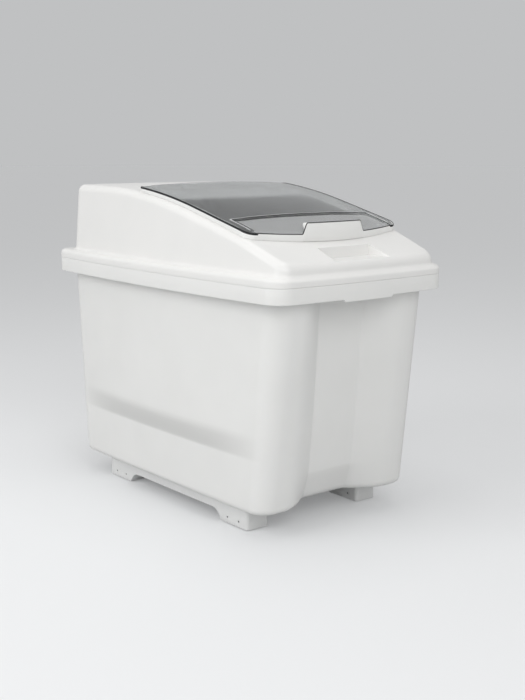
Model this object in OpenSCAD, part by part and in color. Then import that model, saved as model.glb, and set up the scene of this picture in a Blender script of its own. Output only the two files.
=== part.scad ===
// Rolling ingredient bin: a tapered tub on two roller rails, with a seated hood and a domed, hinged lid.
// Millimetres. +Z is up, the front faces -Y, and the origin is on the floor under the middle of the rim.

/* [Tub] */
// Length over the rim
rim_l = 754; // [720:1:790]
// Width over the rim at the middle of the long sides
rim_w = 436; // [415:1:460]
// How far the long sides bow outwards at the rim
side_bow = 13; // [0:0.5:16]
// How far the ends bow outwards at the rim
end_bow = 5; // [0:0.5:8]
// Corner radius of the rim
rim_corner_r = 39; // [36:1:48]
// Depth of the turned-down skirt of the rim
rim_skirt_h = 28; // [20:1:36]
// How far the rim stands out over the tub's wall
rim_overhang = 20; // [17:1:24]
// Height of the tub from its underside to the top of its rim
tub_h = 413; // [380:1:450]
// Thickness of the tub's wall
tub_wall = 4; // [3:0.5:5]
// Thickness of the tub's floor
tub_floor = 6; // [5:0.5:8]
// Corner radius of the tub's wall under the rim
mouth_corner_r = 50; // [46:1:58]
// How far each long side runs in from the rim to the foot
side_taper = 32; // [28:1:38]
// How far the long sides bow outwards at the foot
foot_bow = 2; // [0:0.5:6]
// How far the front runs in from the rim to the foot
front_taper = 75; // [62:1:87]
// How far the back runs in from the rim to the foot
back_taper = 63; // [49:1:77]
// Corner radius of the foot
foot_corner_r = 38; // [32:1:46]
// Rounding between the tub's wall and its underside
foot_edge_r = 12; // [8:1:15]

/* [Front channel and grip] */
// Width of the front channel at the face of the tub
channel_mouth_w = 256; // [230:1:264]
// Width of the channel's inner face
channel_floor_w = 106; // [96:1:112]
// Depth of the channel at its foot
channel_d = 31; // [24:1:34]
// How much deeper the channel is at the rim, where the tub's front leans out
channel_flare = 20; // [10:1:24]
// Height of the toe that slopes in at the channel's lower end
toe_h = 55; // [40:1:70]
// How much deeper the toe is at the underside
toe_d = 6; // [4:1:10]
// How far the grip lip of the front rim runs past the channel's inner face at each side
grip_over = 2; // [1.5:0.5:5]
// How far the grip lip hangs below the rim's skirt
grip_drop = 4; // [2:0.5:6]

/* [Side swage] */
// Height of the swage's lower edge above the tub's underside
swage_h = 111; // [90:1:140]
// Height of the band that turns in at the swage
swage_band = 30; // [20:1:40]
// How far the wall swells out above the band
swage_d = 3; // [0:0.5:4]

/* [Hood] */
// Height of the hood's flange above the tub's rim
flange_h = 17; // [14:1:22]
// Height of the hood's level top above the tub's rim
hood_h = 152; // [140:1:170]
// Thickness of the hood's wall
hood_wall = 4; // [3:0.5:5]
// How far the hood's side walls stand inside the rim
hood_side_inset = 19; // [17:1:22]
// How far the hood's front wall stands inside the rim
hood_front_inset = 10; // [10:0.5:13]
// How far the hood's back wall stands inside the rim
hood_back_inset = 31; // [22:1:32]
// Corner radius of the hood's front corners
hood_front_corner_r = 25; // [24:1:32]
// Corner radius of the hood's back corners
hood_back_corner_r = 39; // [36:1:46]
// How far the hood's walls lean in over their full height
hood_lean = 8; // [4:1:10]
// Rounding between the hood's walls and its top
shoulder_r = 16; // [14:1:20]
// Distance from the back of the rim to where the level top starts to fall
level_top_l = 174; // [157:1:197]
// Height above the rim of the brow, where the main slope ends and the steeper front slope starts
brow_h = 80; // [76:1:86]
// Share of the main slope's sharpest fall that its curve takes
slope_curve_share = 0.906; // [0.8:0.002:0.98]
// Distance of the brow from the front of the rim
brow_setback = 133; // [122:1:142]
// Angle of the front slope
front_slope_angle = 20; // [18:0.5:20.5]
// Distance of the opening's front edge from the front of the rim
opening_setback = 141; // [137:1:152]
// Distance of the opening's back edge from the back of the rim
opening_back_setback = 394; // [377:1:417]
// Distance of the opening's sides from the sides of the rim
opening_inset = 62; // [58:1:74]
// Corner radius of the opening
opening_corner_r = 20; // [14:1:30]

/* [Finger recess] */
// Width of the recess at its back face
recess_w = 124; // [110:1:130]
// How far each side of the recess splays out towards the front
recess_splay = 5; // [0:1:8]
// Depth of the recess at its back face
recess_d = 19; // [16:0.5:20]
// Distance of the recess's back face from the front of the rim
recess_setback = 68; // [64:1:70]
// Distance of the recess's lip from the front of the rim
recess_lip = 19; // [18:0.5:22]

/* [Lid] */
// Distance of the lid's back edge from the back of the rim
lid_back_setback = 308; // [304:1:312]
// How far the lid's front edge bows forwards
lid_front_bow = 22; // [14:1:24]
// Distance of the lid's sides from the sides of the rim at its back edge
lid_back_inset = 37; // [36:1:42]
// Distance of the lid's sides from the sides of the rim at its front corners
lid_front_inset = 37; // [36:1:42]
// Corner radius at the lid's front
lid_corner_r = 22; // [18:1:28]
// Wall thickness of the lid
lid_wall = 3; // [2.5:0.5:3.5]
// Height of the lid's crown above the hood's level top, at the lid's back edge
lid_crown_h = 9; // [7:0.5:11]
// Height of the lid's crown line above the hood at the lid's front
lid_front_h = 16; // [14:0.5:18]
// Height of the lid's skirt along its sides
lid_skirt_h = 9; // [8:0.5:11]
// How far the lid's front panel is sunk below the crown line at the front edge
lid_sink = 3; // [2:0.5:4]
// Length of the sunk front panel
lid_panel_l = 85; // [60:1:100]
// Gap between the lid's lower edge and the hood
lid_gap = 0.5; // [0.4:0.1:0.8]
// Width of the handle where it leaves the lid
handle_w = 150; // [134:1:160]
// Width of the handle along its top
handle_top_w = 126; // [112:1:130]
// Height of the handle's top above the hood under it
handle_h = 34; // [31:0.5:38]
// Thickness of the handle's walls
handle_wall = 4; // [3:0.5:5]
// Depth of the handle's top lip
handle_lip = 13; // [10:1:16]

/* [Hinge] */
// Distance of the hinge line behind the lid's back edge
hinge_setback = 12; // [10:1:16]
// Diameter of the hinge pins
hinge_pin_d = 3; // [2.5:0.5:3.5]
// Outside radius of the hinge knuckles
knuckle_r = 4.5; // [4:0.25:5]
// Width of one lid ear
ear_w = 9; // [7:1:11]
// Thickness of each hinge lug on the hood
lug_w = 5; // [4:0.5:6]
// Distance of an ear's middle from the side of the lid's back edge
ear_inset = 100; // [85:1:115]
// Gap between a lid ear and the lugs beside it
ear_gap = 0.5; // [0.3:0.1:0.8]
// Clearance all round between a pin and what turns on it
pin_clear = 0.05; // [0.02:0.01:0.1]

/* [Rails] */
// Distance of a rail's outer face from the side of the foot
rail_inset = 25; // [22:1:31]
// Width of a rail
rail_w = 50; // [46:1:56]
// Height of a rail at its end blocks
rail_h = 43; // [40:1:50]
// Height of the slim part between the blocks
rail_web_h = 23.5; // [20:0.5:28]
// Length of an end block along its underside
block_l = 79; // [76:1:90]
// Thickness of the rail's walls
rail_wall = 4.5; // [4:0.5:5]
// Radius of the upright edges at the ends of a rail
rail_edge_r = 6; // [4:1:9]
// Radius of the curve from a block to the slim part
block_curve_r = 26; // [18:1:30]
// Slant of a block's inner end from the floor
block_slant = 55; // [45:1:65]

/* [Rollers] */
// Diameter of a roller
roller_d = 25; // [22:0.5:26]
// Length of a roller
roller_w = 38; // [30:1:38]
// Chamfer at a roller's edges
roller_chamfer = 1.5; // [1:0.5:3]
// How far the rollers stand below the rails
roller_drop = 2; // [1:0.5:4]
// Distance between the two rollers of a pair
roller_pitch = 34.5; // [32:0.5:36]
// Mean distance of the middle of a pair from the end of the tub's foot
pair_setback = 114.75; // [100:0.25:125]
// How far the middle of a pair stands inside the middle of its block
pair_offset = 3.25; // [2:0.25:4.5]
// Diameter of an axle pin
axle_d = 4; // [3:0.5:5]
// How far an axle pin's ends stand inside the rail's faces
axle_inset = 1; // [0.5:0.25:1.5]

/* [Screws] */
// Diameter of a rail screw's shank
screw_d = 4; // [3:0.5:5]
// Diameter of a rail screw's head
screw_head_d = 8; // [7:0.5:10]
// Height of a rail screw's head
screw_head_h = 3; // [2:0.5:4]
// How far a rail screw bites into the tub's floor
screw_bite = 4; // [3:0.5:4.5]
// Distance of the end screws from the ends of the rail's slim part
screw_setback = 24.8; // [15:0.1:45]

/* [Hidden] */
$fn = 48;

// Named small sizes
overrun = 1;
parting_chamfer = 2;
seat_gap = 0.2;
flange_edge_r = 3;
foot_fillet = 4;
rib_h = 8;
rib_wall = 3;
rib_clear = 1.5;
grip_ramp = 4;
grip_half = channel_floor_w / 2 + grip_over;
rim_plate = 4;
skirt_wall = 4;
fillet_inset = 8;
recess_wall = 3;
rail_top = 5;
screw_clear = 0.25;
axle_chamfer = 0.4;
lid_skirt_r = 6;
handle_arc = 40;
handle_facets = 180;

// Heights of the main levels
rail_z = roller_drop;
tub_z = rail_z + rail_h;
rim_z = tub_z + tub_h;
rim_under_z = rim_z - rim_plate;
skirt_z = rim_z - rim_skirt_h;
flange_z = rim_z + flange_h;
hood_z = rim_z + seat_gap;
top_z = rim_z + hood_h;
roller_z = roller_d / 2;

// Half sizes used all through, and places along the bin from its middle
rim_b = rim_w / 2 - side_bow;
rim_end = rim_l / 2;
rim_y = rim_end - end_bow;
foot_w = rim_w - 2 * side_taper;
foot_b = foot_w / 2 - foot_bow;
foot_front = rim_end - front_taper;
foot_back = rim_end - back_taper;
slope_start = rim_end - level_top_l;
front_slope_start = rim_end - brow_setback;
opening_front = rim_end - opening_setback;
opening_back = opening_back_setback - rim_end;
opening_w = rim_w - 2 * opening_inset;
recess_back = rim_end - recess_setback;
recess_front = rim_end - recess_lip;
lid_back = rim_end - lid_back_setback;
lid_back_w = rim_w - 2 * lid_back_inset;
lid_front_w = rim_w - 2 * lid_front_inset;
hinge_y = lid_back + hinge_setback;
ear_x = lid_back_w / 2 - ear_inset;
rail_gauge = foot_w - 2 * rail_inset;
wheelbase = foot_front + foot_back - 2 * pair_setback;
rail_l = wheelbase + block_l + 2 * pair_offset;
corner_steps = 5;
side_steps = 9;
back_shares = [0.75, 0.4, 0, -0.4, -0.75];

// Places across the front where the outline has a point: the channel, the grip lip and the middle
wall_shares = [0.3, 0.55, 0.78, 1];
front_half = concat([channel_floor_w / 2, grip_half, grip_half + grip_ramp],
    [for (s = wall_shares) grip_half + grip_ramp + s * (channel_mouth_w / 2 - grip_half - grip_ramp)]);
front_xs = concat([for (i = [len(front_half) - 1:-1:0]) -front_half[i]], [0], front_half);
front_n = len(front_xs);
front_fit_share = 0.95;

function lerp(a, b, k) = a + (b - a) * k;
function clamp(v, lo, hi) = min(max(v, lo), hi);
function ramp(v, lo, hi) = clamp((v - lo) / (hi - lo), 0, 1);
function bow(s) = 1 - s * s;
function ease(k) = k * (3 - k * k) / 2;

// Points of a corner's arc
function corner(x, y, r, a0) = [
    for (i = [0:corner_steps]) let (a = a0 + 90 * i / corner_steps) [x + r * cos(a), y + r * sin(a)]
];

// A rounded outline seen from above, anticlockwise from the front's left end: half widths at the front and
// back, front and back edges, their corner radii, and the bows of the sides, the front and the back
function outline(bf, bb, yf, yb, rf, rb, sbow, fbow, bbow) = concat(
    [for (x = front_xs) let (fit = min(1, 2 * front_fit_share * (bf - rf) / channel_mouth_w))
        [x * fit, yf - fbow * bow(x * fit / (bf - rf))]],
    corner(bf - rf, yf + rf, rf, -90),
    [for (i = [1:side_steps]) let (s = 2 * i / (side_steps + 1) - 1)
        [lerp(bf, bb, (s + 1) / 2) + sbow * bow(s), lerp(yf + rf, yb - rb, (s + 1) / 2)]],
    corner(bb - rb, yb - rb, rb, 0),
    [for (s = back_shares) [s * (bb - rb), yb + bbow * bow(s)]],
    corner(rb - bb, yb - rb, rb, 90),
    [for (i = [side_steps:-1:1]) let (s = 2 * i / (side_steps + 1) - 1)
        [-lerp(bf, bb, (s + 1) / 2) - sbow * bow(s), lerp(yf + rf, yb - rb, (s + 1) / 2)]],
    corner(rf - bf, yf + rf, rf, 180)
);

function at_z(pts, z) = [for (p = pts) [p.x, p.y, z]];

function middle(ring) = [for (k = [0:2]) (min([for (p = ring) p[k]]) + max([for (p = ring) p[k]])) / 2];

// One closed solid through a list of rings. A loop joins its last ring to its first; otherwise both ends
// are closed by fans from their middles.
module skin(rings, loop = false) {
    n = len(rings[0]);
    m = len(rings);
    last = loop ? m - 1 : m - 2;
    walls = [for (j = [0:last], i = [0:n - 1])
        let (a = j * n, b = ((j + 1) % m) * n, k = (i + 1) % n)
        each [[a + i, b + i, b + k], [a + i, b + k, a + k]]];
    fans = loop ? [] : [for (i = [0:n - 1]) let (k = (i + 1) % n, b = (m - 1) * n)
        each [[m * n, i, k], [m * n + 1, b + k, b + i]]];
    middles = loop ? [] : [middle(rings[0]), middle(rings[m - 1])];
    points = concat([for (r = rings) each r], middles);
    polyhedron(points = points, faces = concat(walls, fans), convexity = 8);
}

// The rim's outline, set in by an amount
function rim_outline(i) = let (b = rim_b - i, y = rim_y - i, r = rim_corner_r - i)
    outline(b, b, -y, y, r, r, side_bow, end_bow, end_bow);

// Depth of the front channel at a place across the front and a height
function channel(x, z) = let (
        across = 1 - ease(ramp(abs(x), channel_floor_w / 2, channel_mouth_w / 2)),
        toe = 1 - ramp(z, tub_z, tub_z + toe_h),
        rise = (z - tub_z) / tub_h
    ) across * (channel_d + rise * rise * channel_flare + toe * toe_d);

// How far the long sides swell out at a height: nothing below the band, most just above it, fading to the rim
function swell(z) = let (z0 = tub_z + swage_h, z1 = z0 + swage_band)
    swage_d * ramp(z, z0, z1) * (1 - ramp(z, z1, rim_under_z));

// The tub's wall at a height, set in by an amount, with the channel and the swage pressed into it
function wall_ring(z, i) = let (
        k = (z - tub_z) / (rim_under_z - tub_z),
        b = lerp(foot_b, rim_b - rim_overhang, k) - i,
        yf = lerp(-foot_front, rim_overhang - rim_y, k) + i,
        yb = lerp(foot_back, rim_y - rim_overhang, k) - i,
        r = lerp(foot_corner_r, mouth_corner_r, k) - i,
        ebow = lerp(0, end_bow, k),
        pts = outline(b, b, yf, yb, r, r, lerp(foot_bow, side_bow, k), ebow, ebow),
        out = swell(z)
    ) [for (j = [0:len(pts) - 1]) let (
            p = pts[j],
            s = clamp((p.y - (yf + yb) / 2) / ((yb - yf) / 2 - r), -1, 1),
            side = abs(p.x) > b - r ? sign(p.x) : 0
        ) [p.x + side * out * bow(s), p.y + (j < front_n ? channel(p.x, z) : 0), z]];

// The lower edge of the rim's skirt, lower at the grip lip
function skirt_ring(i) = let (pts = rim_outline(i))
    [for (j = [0:len(pts) - 1]) let (
            lip = j < front_n ? 1 - ramp(abs(pts[j].x), grip_half, grip_half + grip_ramp) : 0
        ) [pts[j].x, pts[j].y, skirt_z - grip_drop * lip]];

module tub() {
    upper_share = 0.67;
    levels = [tub_z + foot_edge_r, tub_z + toe_h, tub_z + swage_h, tub_z + swage_h + swage_band,
        lerp(tub_z, rim_under_z, upper_share)];
    inner_r = foot_edge_r - tub_wall;
    inner_z = tub_z + tub_floor;
    color("white") skin(concat(
        [at_z(wall_ring(tub_z, foot_edge_r), tub_z)],
        [at_z(wall_ring(tub_z, foot_edge_r * (1 - sin(45))), tub_z + foot_edge_r * (1 - cos(45)))],
        [for (z = levels) wall_ring(z, 0)],
        [wall_ring(rim_under_z, 0)],
        [at_z(rim_outline(skirt_wall), rim_under_z)],
        [skirt_ring(skirt_wall)],
        [skirt_ring(0)],
        [at_z(rim_outline(0), rim_z - parting_chamfer)],
        [at_z(rim_outline(parting_chamfer), rim_z)],
        [wall_ring(rim_z, tub_wall)],
        [for (j = [len(levels) - 1:-1:1]) wall_ring(levels[j], tub_wall)],
        [wall_ring(inner_z + inner_r, tub_wall)],
        [at_z(wall_ring(inner_z, tub_wall + inner_r), inner_z)]
    ));
}

// Height of the hood's top along the bin: a curve down from the level top, a straight slope that meets the
// brow, and the front slope
slope_l = slope_start + front_slope_start;
slope_fall = hood_h - brow_h;
slope_r = slope_curve_share * (slope_l * slope_l / slope_fall + slope_fall) / 2;
slope_angle = atan2(slope_l, slope_r - slope_fall) - acos(slope_r / norm([slope_l, slope_r - slope_fall]));
slope_end = slope_start - slope_r * sin(slope_angle);
slope_end_z = top_z - slope_r * (1 - cos(slope_angle));
front_slope_z = rim_z + brow_h;
function hood_top(y) = y >= slope_start ? top_z
    : y >= slope_end ? top_z - slope_r + sqrt(slope_r * slope_r - (slope_start - y) * (slope_start - y))
    : y >= -front_slope_start ? slope_end_z - tan(slope_angle) * (slope_end - y)
    : front_slope_z - tan(front_slope_angle) * (-front_slope_start - y);

// The hood's wall at its foot, set in by an amount
function hood_outline(i) = let (b = rim_b - hood_side_inset - i)
    outline(b, b, hood_front_inset - rim_y + i, rim_y - hood_back_inset - i,
        hood_front_corner_r - i, hood_back_corner_r - i, side_bow, end_bow, end_bow);
hood_foot = hood_outline(0);
hood_in = [for (p = hood_outline(1) - hood_foot) p];
hood_n = len(hood_foot);
hood_foot_z = flange_z + foot_fillet;

// Radius of the shoulder at each point, smaller where the wall is low, and how far the wall leans in below it
shoulder_fit_share = 0.8;
shoulder = [for (p = hood_foot) min(shoulder_r, shoulder_fit_share * (hood_top(p.y) - hood_foot_z))];
wall_lean = [for (j = [0:hood_n - 1])
    hood_lean * ramp(hood_top(hood_foot[j].y) - shoulder[j], hood_foot_z, top_z - shoulder_r)];

// The hood's shoulder at an angle, with a skin set in from the outside
function shoulder_ring(a, skin_t) = [for (j = [0:hood_n - 1]) let (
        r = shoulder[j] - skin_t,
        p = hood_foot[j] + hood_in[j] * (wall_lean[j] + skin_t + r * (1 - cos(a)))
    ) [p.x, p.y, hood_top(p.y) - skin_t - r * (1 - sin(a))]];

// The hood's top between its shoulder and the opening, with a skin set in from the outside
opening = outline(opening_w / 2, opening_w / 2, -opening_front, -opening_back,
    opening_corner_r, opening_corner_r, 0, 0, 0);
function top_ring(share, skin_t) = let (edge = shoulder_ring(90, 0))
    [for (j = [0:hood_n - 1]) let (p = lerp([edge[j].x, edge[j].y], opening[j], share))
        [p.x, p.y, hood_top(p.y) - skin_t]];

// The rib that drops into the tub's mouth and keeps the hood in place
function rib_outline(i) = let (
        b = rim_b - hood_side_inset - fillet_inset - i,
        yf = rim_overhang + tub_wall + rib_clear - rim_y + i,
        yb = rim_y - hood_back_inset - fillet_inset - i,
        rf = mouth_corner_r - tub_wall - i,
        rb = hood_back_corner_r - fillet_inset - i,
        pts = outline(b, b, yf, yb, rf, rb, side_bow, end_bow, end_bow)
    ) [for (j = [0:len(pts) - 1]) [pts[j].x, pts[j].y + (j < front_n ? channel(pts[j].x, rim_z) : 0)]];

module hood_shell() {
    shoulder_angles = [0, 30, 60, 90];
    front_run = -opening_front - shoulder_ring(90, 0)[(front_n - 1) / 2].y;
    top_shares = [0.15, 0.32, 0.5, 0.7, 1 - (front_slope_start - opening_front) / front_run, 1];
    skin(concat(
        [at_z(rim_outline(parting_chamfer + skirt_wall), hood_z)],
        [at_z(rim_outline(parting_chamfer), hood_z)],
        [at_z(rim_outline(0), hood_z + parting_chamfer)],
        [at_z(rim_outline(0), flange_z - flange_edge_r)],
        [at_z(rim_outline(flange_edge_r * (1 - sin(45))), flange_z - flange_edge_r * (1 - cos(45)))],
        [at_z(rim_outline(flange_edge_r), flange_z)],
        [at_z(hood_outline(-foot_fillet), flange_z)],
        [at_z(hood_outline(0), hood_foot_z)],
        [for (a = shoulder_angles) shoulder_ring(a, 0)],
        [for (s = top_shares) top_ring(s, 0)],
        [for (j = [len(top_shares) - 1:-1:0]) top_ring(top_shares[j], hood_wall)],
        [for (j = [len(shoulder_angles) - 1:-1:0]) shoulder_ring(shoulder_angles[j], hood_wall)],
        [at_z(hood_outline(hood_wall), hood_z + hood_wall)],
        [at_z(rib_outline(rib_wall), hood_z + hood_wall)],
        [at_z(rib_outline(rib_wall), rim_z - rib_h)],
        [at_z(rib_outline(0), rim_z - rib_h)],
        [at_z(rib_outline(0), hood_z)],
        [at_z(hood_outline(0), hood_z)],
        [at_z(hood_outline(0), flange_z - hood_wall)],
        [at_z(rim_outline(parting_chamfer + skirt_wall), flange_z - hood_wall)]
    ), loop = true);
}

// The finger recess: a step cut into the front slope, with a level floor that runs out at the front edge
recess_half = recess_w / 2;
recess_floor_z = hood_top(-recess_back) - recess_d;
module recess_cut() {
    lip_half = recess_half + recess_splay;
    translate([0, 0, recess_floor_z])
        linear_extrude(recess_d + overrun)
            polygon([[-recess_half, -recess_back], [recess_half, -recess_back],
                [lip_half, -rim_end], [-lip_half, -rim_end]]);
}

// The wall round the recess, under the hood's skin
module recess_shell() {
    y0 = recess_wall - recess_back;
    z0 = recess_floor_z - recess_wall;
    rotate([90, 0, 90])
        linear_extrude(recess_w + 2 * (recess_splay + recess_wall), center = true)
            polygon([[y0, hood_top(y0) - hood_wall / 2], [y0, z0], [-recess_front, z0],
                [-recess_front, hood_top(-recess_front) - hood_wall / 2]]);
}

// Hinge line
hinge_z = hood_top(hinge_y) + knuckle_r + lid_gap;

// A bar across the bin along the hinge line
module hinge_bar(x, w, r) {
    translate([x - w / 2, hinge_y, hinge_z])
        rotate([0, 90, 0])
            cylinder(r = r, h = w);
}

module hinge_lugs() {
    for (s = [-1, 1], t = [-1, 1]) {
        x = s * ear_x + t * (ear_w / 2 + ear_gap + lug_w / 2);
        hinge_bar(x, lug_w, knuckle_r);
        translate([x - lug_w / 2, hinge_y - knuckle_r, hood_top(hinge_y) - hood_wall / 2])
            cube([lug_w, 2 * knuckle_r, hinge_z - hood_top(hinge_y) + hood_wall / 2]);
    }
}

module hood() {
    color("whitesmoke") difference() {
        union() {
            hood_shell();
            recess_shell();
            hinge_lugs();
        }
        recess_cut();
        for (s = [-1, 1])
            hinge_bar(s * ear_x, 2 * (ear_w + lug_w) + overrun, hinge_pin_d / 2 + pin_clear);
    }
}

// The lid's edge seen from above, with its front corners starting where the front slope does, and the point
// that its rings close on
lid_front = front_slope_start + lid_corner_r;
lid_edge = outline(lid_front_w / 2, lid_back_w / 2, -lid_front, lid_back,
    lid_corner_r, lid_corner_r / 4, 0, lid_front_bow, 0);
lid_mid = [0, (lid_back - lid_front) / 2];

// Height of the lid's crown line along the bin: an arc over the hood's, whose highest point would be where
// the level top starts to fall
lid_crown_z = top_z + lid_crown_h;
lid_nose = lid_front + lid_front_bow;
lid_back_run = slope_start - lid_back;
lid_nose_run = slope_start + lid_nose;
lid_fall = lid_crown_z - hood_top(-lid_nose) - lid_front_h;
lid_arc_h = ((lid_nose_run - lid_back_run) * (lid_nose_run + lid_back_run) / lid_fall + lid_fall) / 2;
lid_crown_r = norm([lid_arc_h, lid_back_run]);
function lid_line(y) = lid_crown_z - lid_arc_h
    + sqrt(lid_crown_r * lid_crown_r - (slope_start - y) * (slope_start - y))
    - lid_sink * ramp(-y, lid_nose - lid_panel_l, lid_nose);

// The lid's outer surface: an upright skirt, rounded over into a crown across the bin
function lid_surface(x, y, inset) = let (
        foot = hood_top(y) + lid_gap,
        half = lerp(lid_front_w, lid_back_w, ramp(y, -lid_front, lid_back)) / 2,
        crown = (lid_line(y) - foot - lid_skirt_h) * bow(clamp(x / half, -1, 1)),
        r = clamp(1 - inset / lid_skirt_r, 0, 1)
    ) foot + (lid_skirt_h + crown) * sqrt(bow(r));

// One ring of the lid: its edge drawn in towards the middle
function lid_ring(share, drop) = [for (p = lid_edge) let (
        q = lerp(lid_mid, p, share),
        inset = (1 - share) * lid_back_w / 2
    ) [q.x, q.y, lid_surface(q.x, q.y, inset) - drop]];
function lid_foot_ring(share) = [for (p = lid_edge) let (q = lerp(lid_mid, p, share))
    [q.x, q.y, hood_top(q.y) + lid_gap]];

module lid_shell() {
    shares = [0.997, 0.988, 0.972, 0.94, 0.8, 0.6, 0.4, 0.2, 0.02];
    wall_share = 2 * lid_wall / lid_back_w;
    skin(concat(
        [for (j = [len(shares) - 1:-1:1]) lid_ring(shares[j] * (1 - wall_share), lid_wall)],
        [lid_foot_ring(1 - wall_share)],
        [lid_foot_ring(1)],
        [for (s = shares) lid_ring(s, 0)]
    ));
}

// The handle: a bowed upright with a lip along its top, trimmed to a trapezoid from the front
module lid_handle() {
    half = handle_w / 2;
    top_half = handle_top_w / 2;
    front_y = lid_wall / 2 - lid_nose;
    bow_half = lid_front_w / 2 - lid_corner_r;
    bow_r = bow_half * bow_half / (2 * lid_front_bow);
    inner_r = bow_r - handle_wall;
    foot_z = hood_top(front_y + bow_r - sqrt(inner_r * inner_r - half * half)) + lid_gap;
    lip_z = hood_top(front_y) + handle_h;
    intersection() {
        translate([0, front_y + handle_lip + overrun, 0])
            rotate([90, 0, 0])
                linear_extrude(handle_lip + 2 * overrun)
                    polygon([[-half, foot_z], [-top_half, lip_z], [top_half, lip_z], [half, foot_z]]);
        translate([0, front_y + bow_r, 0])
            rotate([0, 0, -90 - handle_arc / 2])
                rotate_extrude(angle = handle_arc, $fn = handle_facets)
                    polygon([[inner_r, foot_z], [bow_r, foot_z], [bow_r, lip_z],
                        [bow_r - handle_lip, lip_z], [bow_r - handle_lip, lip_z - handle_wall],
                        [inner_r, lip_z - handle_wall]]);
    }
}

module lid_ears() {
    for (s = [-1, 1]) {
        x = s * ear_x;
        hinge_bar(x, ear_w, knuckle_r);
        translate([x - ear_w / 2, lid_back - lid_skirt_r, hinge_z - knuckle_r + lid_gap])
            cube([ear_w, hinge_y - lid_back + lid_skirt_r, knuckle_r]);
    }
}

module lid() {
    color("lightslategray", 0.6) difference() {
        union() {
            lid_shell();
            lid_handle();
            lid_ears();
        }
        for (s = [-1, 1])
            hinge_bar(s * ear_x, ear_w + 2 * overrun, hinge_pin_d / 2 + pin_clear);
    }
}

module hinge_pin(side) {
    color("silver") hinge_bar(side * ear_x, ear_w + 2 * (ear_gap + lug_w), hinge_pin_d / 2);
}

// Rail: its side view, from the underside up
rail_y = rail_l / 2;
web_z = rail_h - rail_web_h;
curve_end = [block_curve_r * sin(block_slant), web_z - block_curve_r * (1 - cos(block_slant))];
curve_y = rail_y - block_l - curve_end.y / tan(block_slant) - curve_end.x;
block_curve = [for (i = [corner_steps:-1:0]) let (a = block_slant * i / corner_steps)
    [curve_y + block_curve_r * sin(a), web_z - block_curve_r * (1 - cos(a))]];
rail_profile = concat(
    [[rail_y, rail_h], [rail_y, 0], [rail_y - block_l, 0]],
    block_curve,
    [for (i = [len(block_curve) - 1:-1:0]) [-block_curve[i].x, block_curve[i].y]],
    [[block_l - rail_y, 0], [-rail_y, 0], [-rail_y, rail_h]]
);

roller_ys = [for (pair = [-1, 1], t = [-1, 1]) pair * wheelbase / 2 + t * roller_pitch / 2];
screw_reach = curve_y - screw_setback;
screw_shares = [-1, -1 / 3, 1 / 3, 1];
screw_ys = screw_shares * screw_reach;
rail_x = rail_gauge / 2 - rail_w / 2;

// A rectangle with round corners, on the middle
module rounded_rectangle(w, l, r) {
    square([w - 2 * r, l], center = true);
    square([w, l - 2 * r], center = true);
    for (sx = [-1, 1], sy = [-1, 1])
        translate([sx * (w / 2 - r), sy * (l / 2 - r)])
            circle(r);
}

module rail(side) {
    inside_w = rail_w - 2 * rail_wall;
    pocket_l = block_l - 2 * rail_wall;
    web_l = 2 * curve_y;
    hollow_h = rail_h - rail_top;
    color("gainsboro") translate([side * rail_x, 0, rail_z]) difference() {
        intersection() {
            rotate([90, 0, 90])
                linear_extrude(rail_w, center = true)
                    polygon(rail_profile);
            linear_extrude(rail_h)
                rounded_rectangle(rail_w, rail_l, rail_edge_r);
        }
        for (end = [-1, 1])
            translate([-inside_w / 2, end * (rail_y - block_l / 2) - pocket_l / 2, -overrun])
                cube([inside_w, pocket_l, hollow_h + overrun]);
        translate([-inside_w / 2, -web_l / 2, -overrun])
            cube([inside_w, web_l, hollow_h + overrun]);
        for (y = roller_ys)
            translate([-rail_w / 2 - overrun, y, roller_z - rail_z])
                rotate([0, 90, 0])
                    cylinder(d = axle_d + 2 * pin_clear, h = rail_w + 2 * overrun);
        for (y = screw_ys)
            translate([0, y, hollow_h - overrun])
                cylinder(d = screw_d + 2 * screw_clear, h = rail_top + 2 * overrun);
    }
}

// Screws under the rail's top, heads down, biting into the tub's floor
module rail_screws(side) {
    color("silver") for (y = screw_ys)
        translate([side * rail_x, y, tub_z - rail_top - screw_head_h]) {
            cylinder(d = screw_head_d, h = screw_head_h);
            cylinder(d = screw_d, h = screw_head_h + rail_top + screw_bite);
        }
}

module roller(side, i) {
    half = roller_w / 2;
    r = roller_d / 2;
    bore = axle_d / 2 + pin_clear;
    color("dimgray") translate([side * rail_x, roller_ys[i], roller_z])
        rotate([0, 90, 0])
            rotate_extrude()
                polygon([[bore, -half], [r - roller_chamfer, -half], [r, roller_chamfer - half],
                    [r, half - roller_chamfer], [r - roller_chamfer, half], [bore, half]]);
}

module axle_pin(side, i) {
    half = rail_w / 2 - axle_inset;
    r = axle_d / 2;
    color("darkgray") translate([side * rail_x, roller_ys[i], roller_z])
        rotate([0, 90, 0])
            rotate_extrude()
                polygon([[0, -half], [r - axle_chamfer, -half], [r, axle_chamfer - half],
                    [r, half - axle_chamfer], [r - axle_chamfer, half], [0, half]]);
}

tub();
hood();
lid();
hinge_pin(-1);  // hinge_pin_left
hinge_pin(1);  // hinge_pin_right
rail(-1);  // rail_left
rail(1);  // rail_right
rail_screws(-1);  // rail_screws_left
rail_screws(1);  // rail_screws_right
for (i = [0:3]) {
    roller(-1, i);
    roller(1, i);
    axle_pin(-1, i);
    axle_pin(1, i);
}
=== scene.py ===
"""Rolling flour bin: moulded tub, hood and base rails, smoked lid and tandem rollers on the CAD frame.

Lengths are millimetres until a mesh is made, in the CAD frame: X to the right, Y to the back, Z up.
"""

from __future__ import annotations

import logging
import math
from dataclasses import dataclass, field
from enum import Enum
from typing import Any, Sequence

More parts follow.
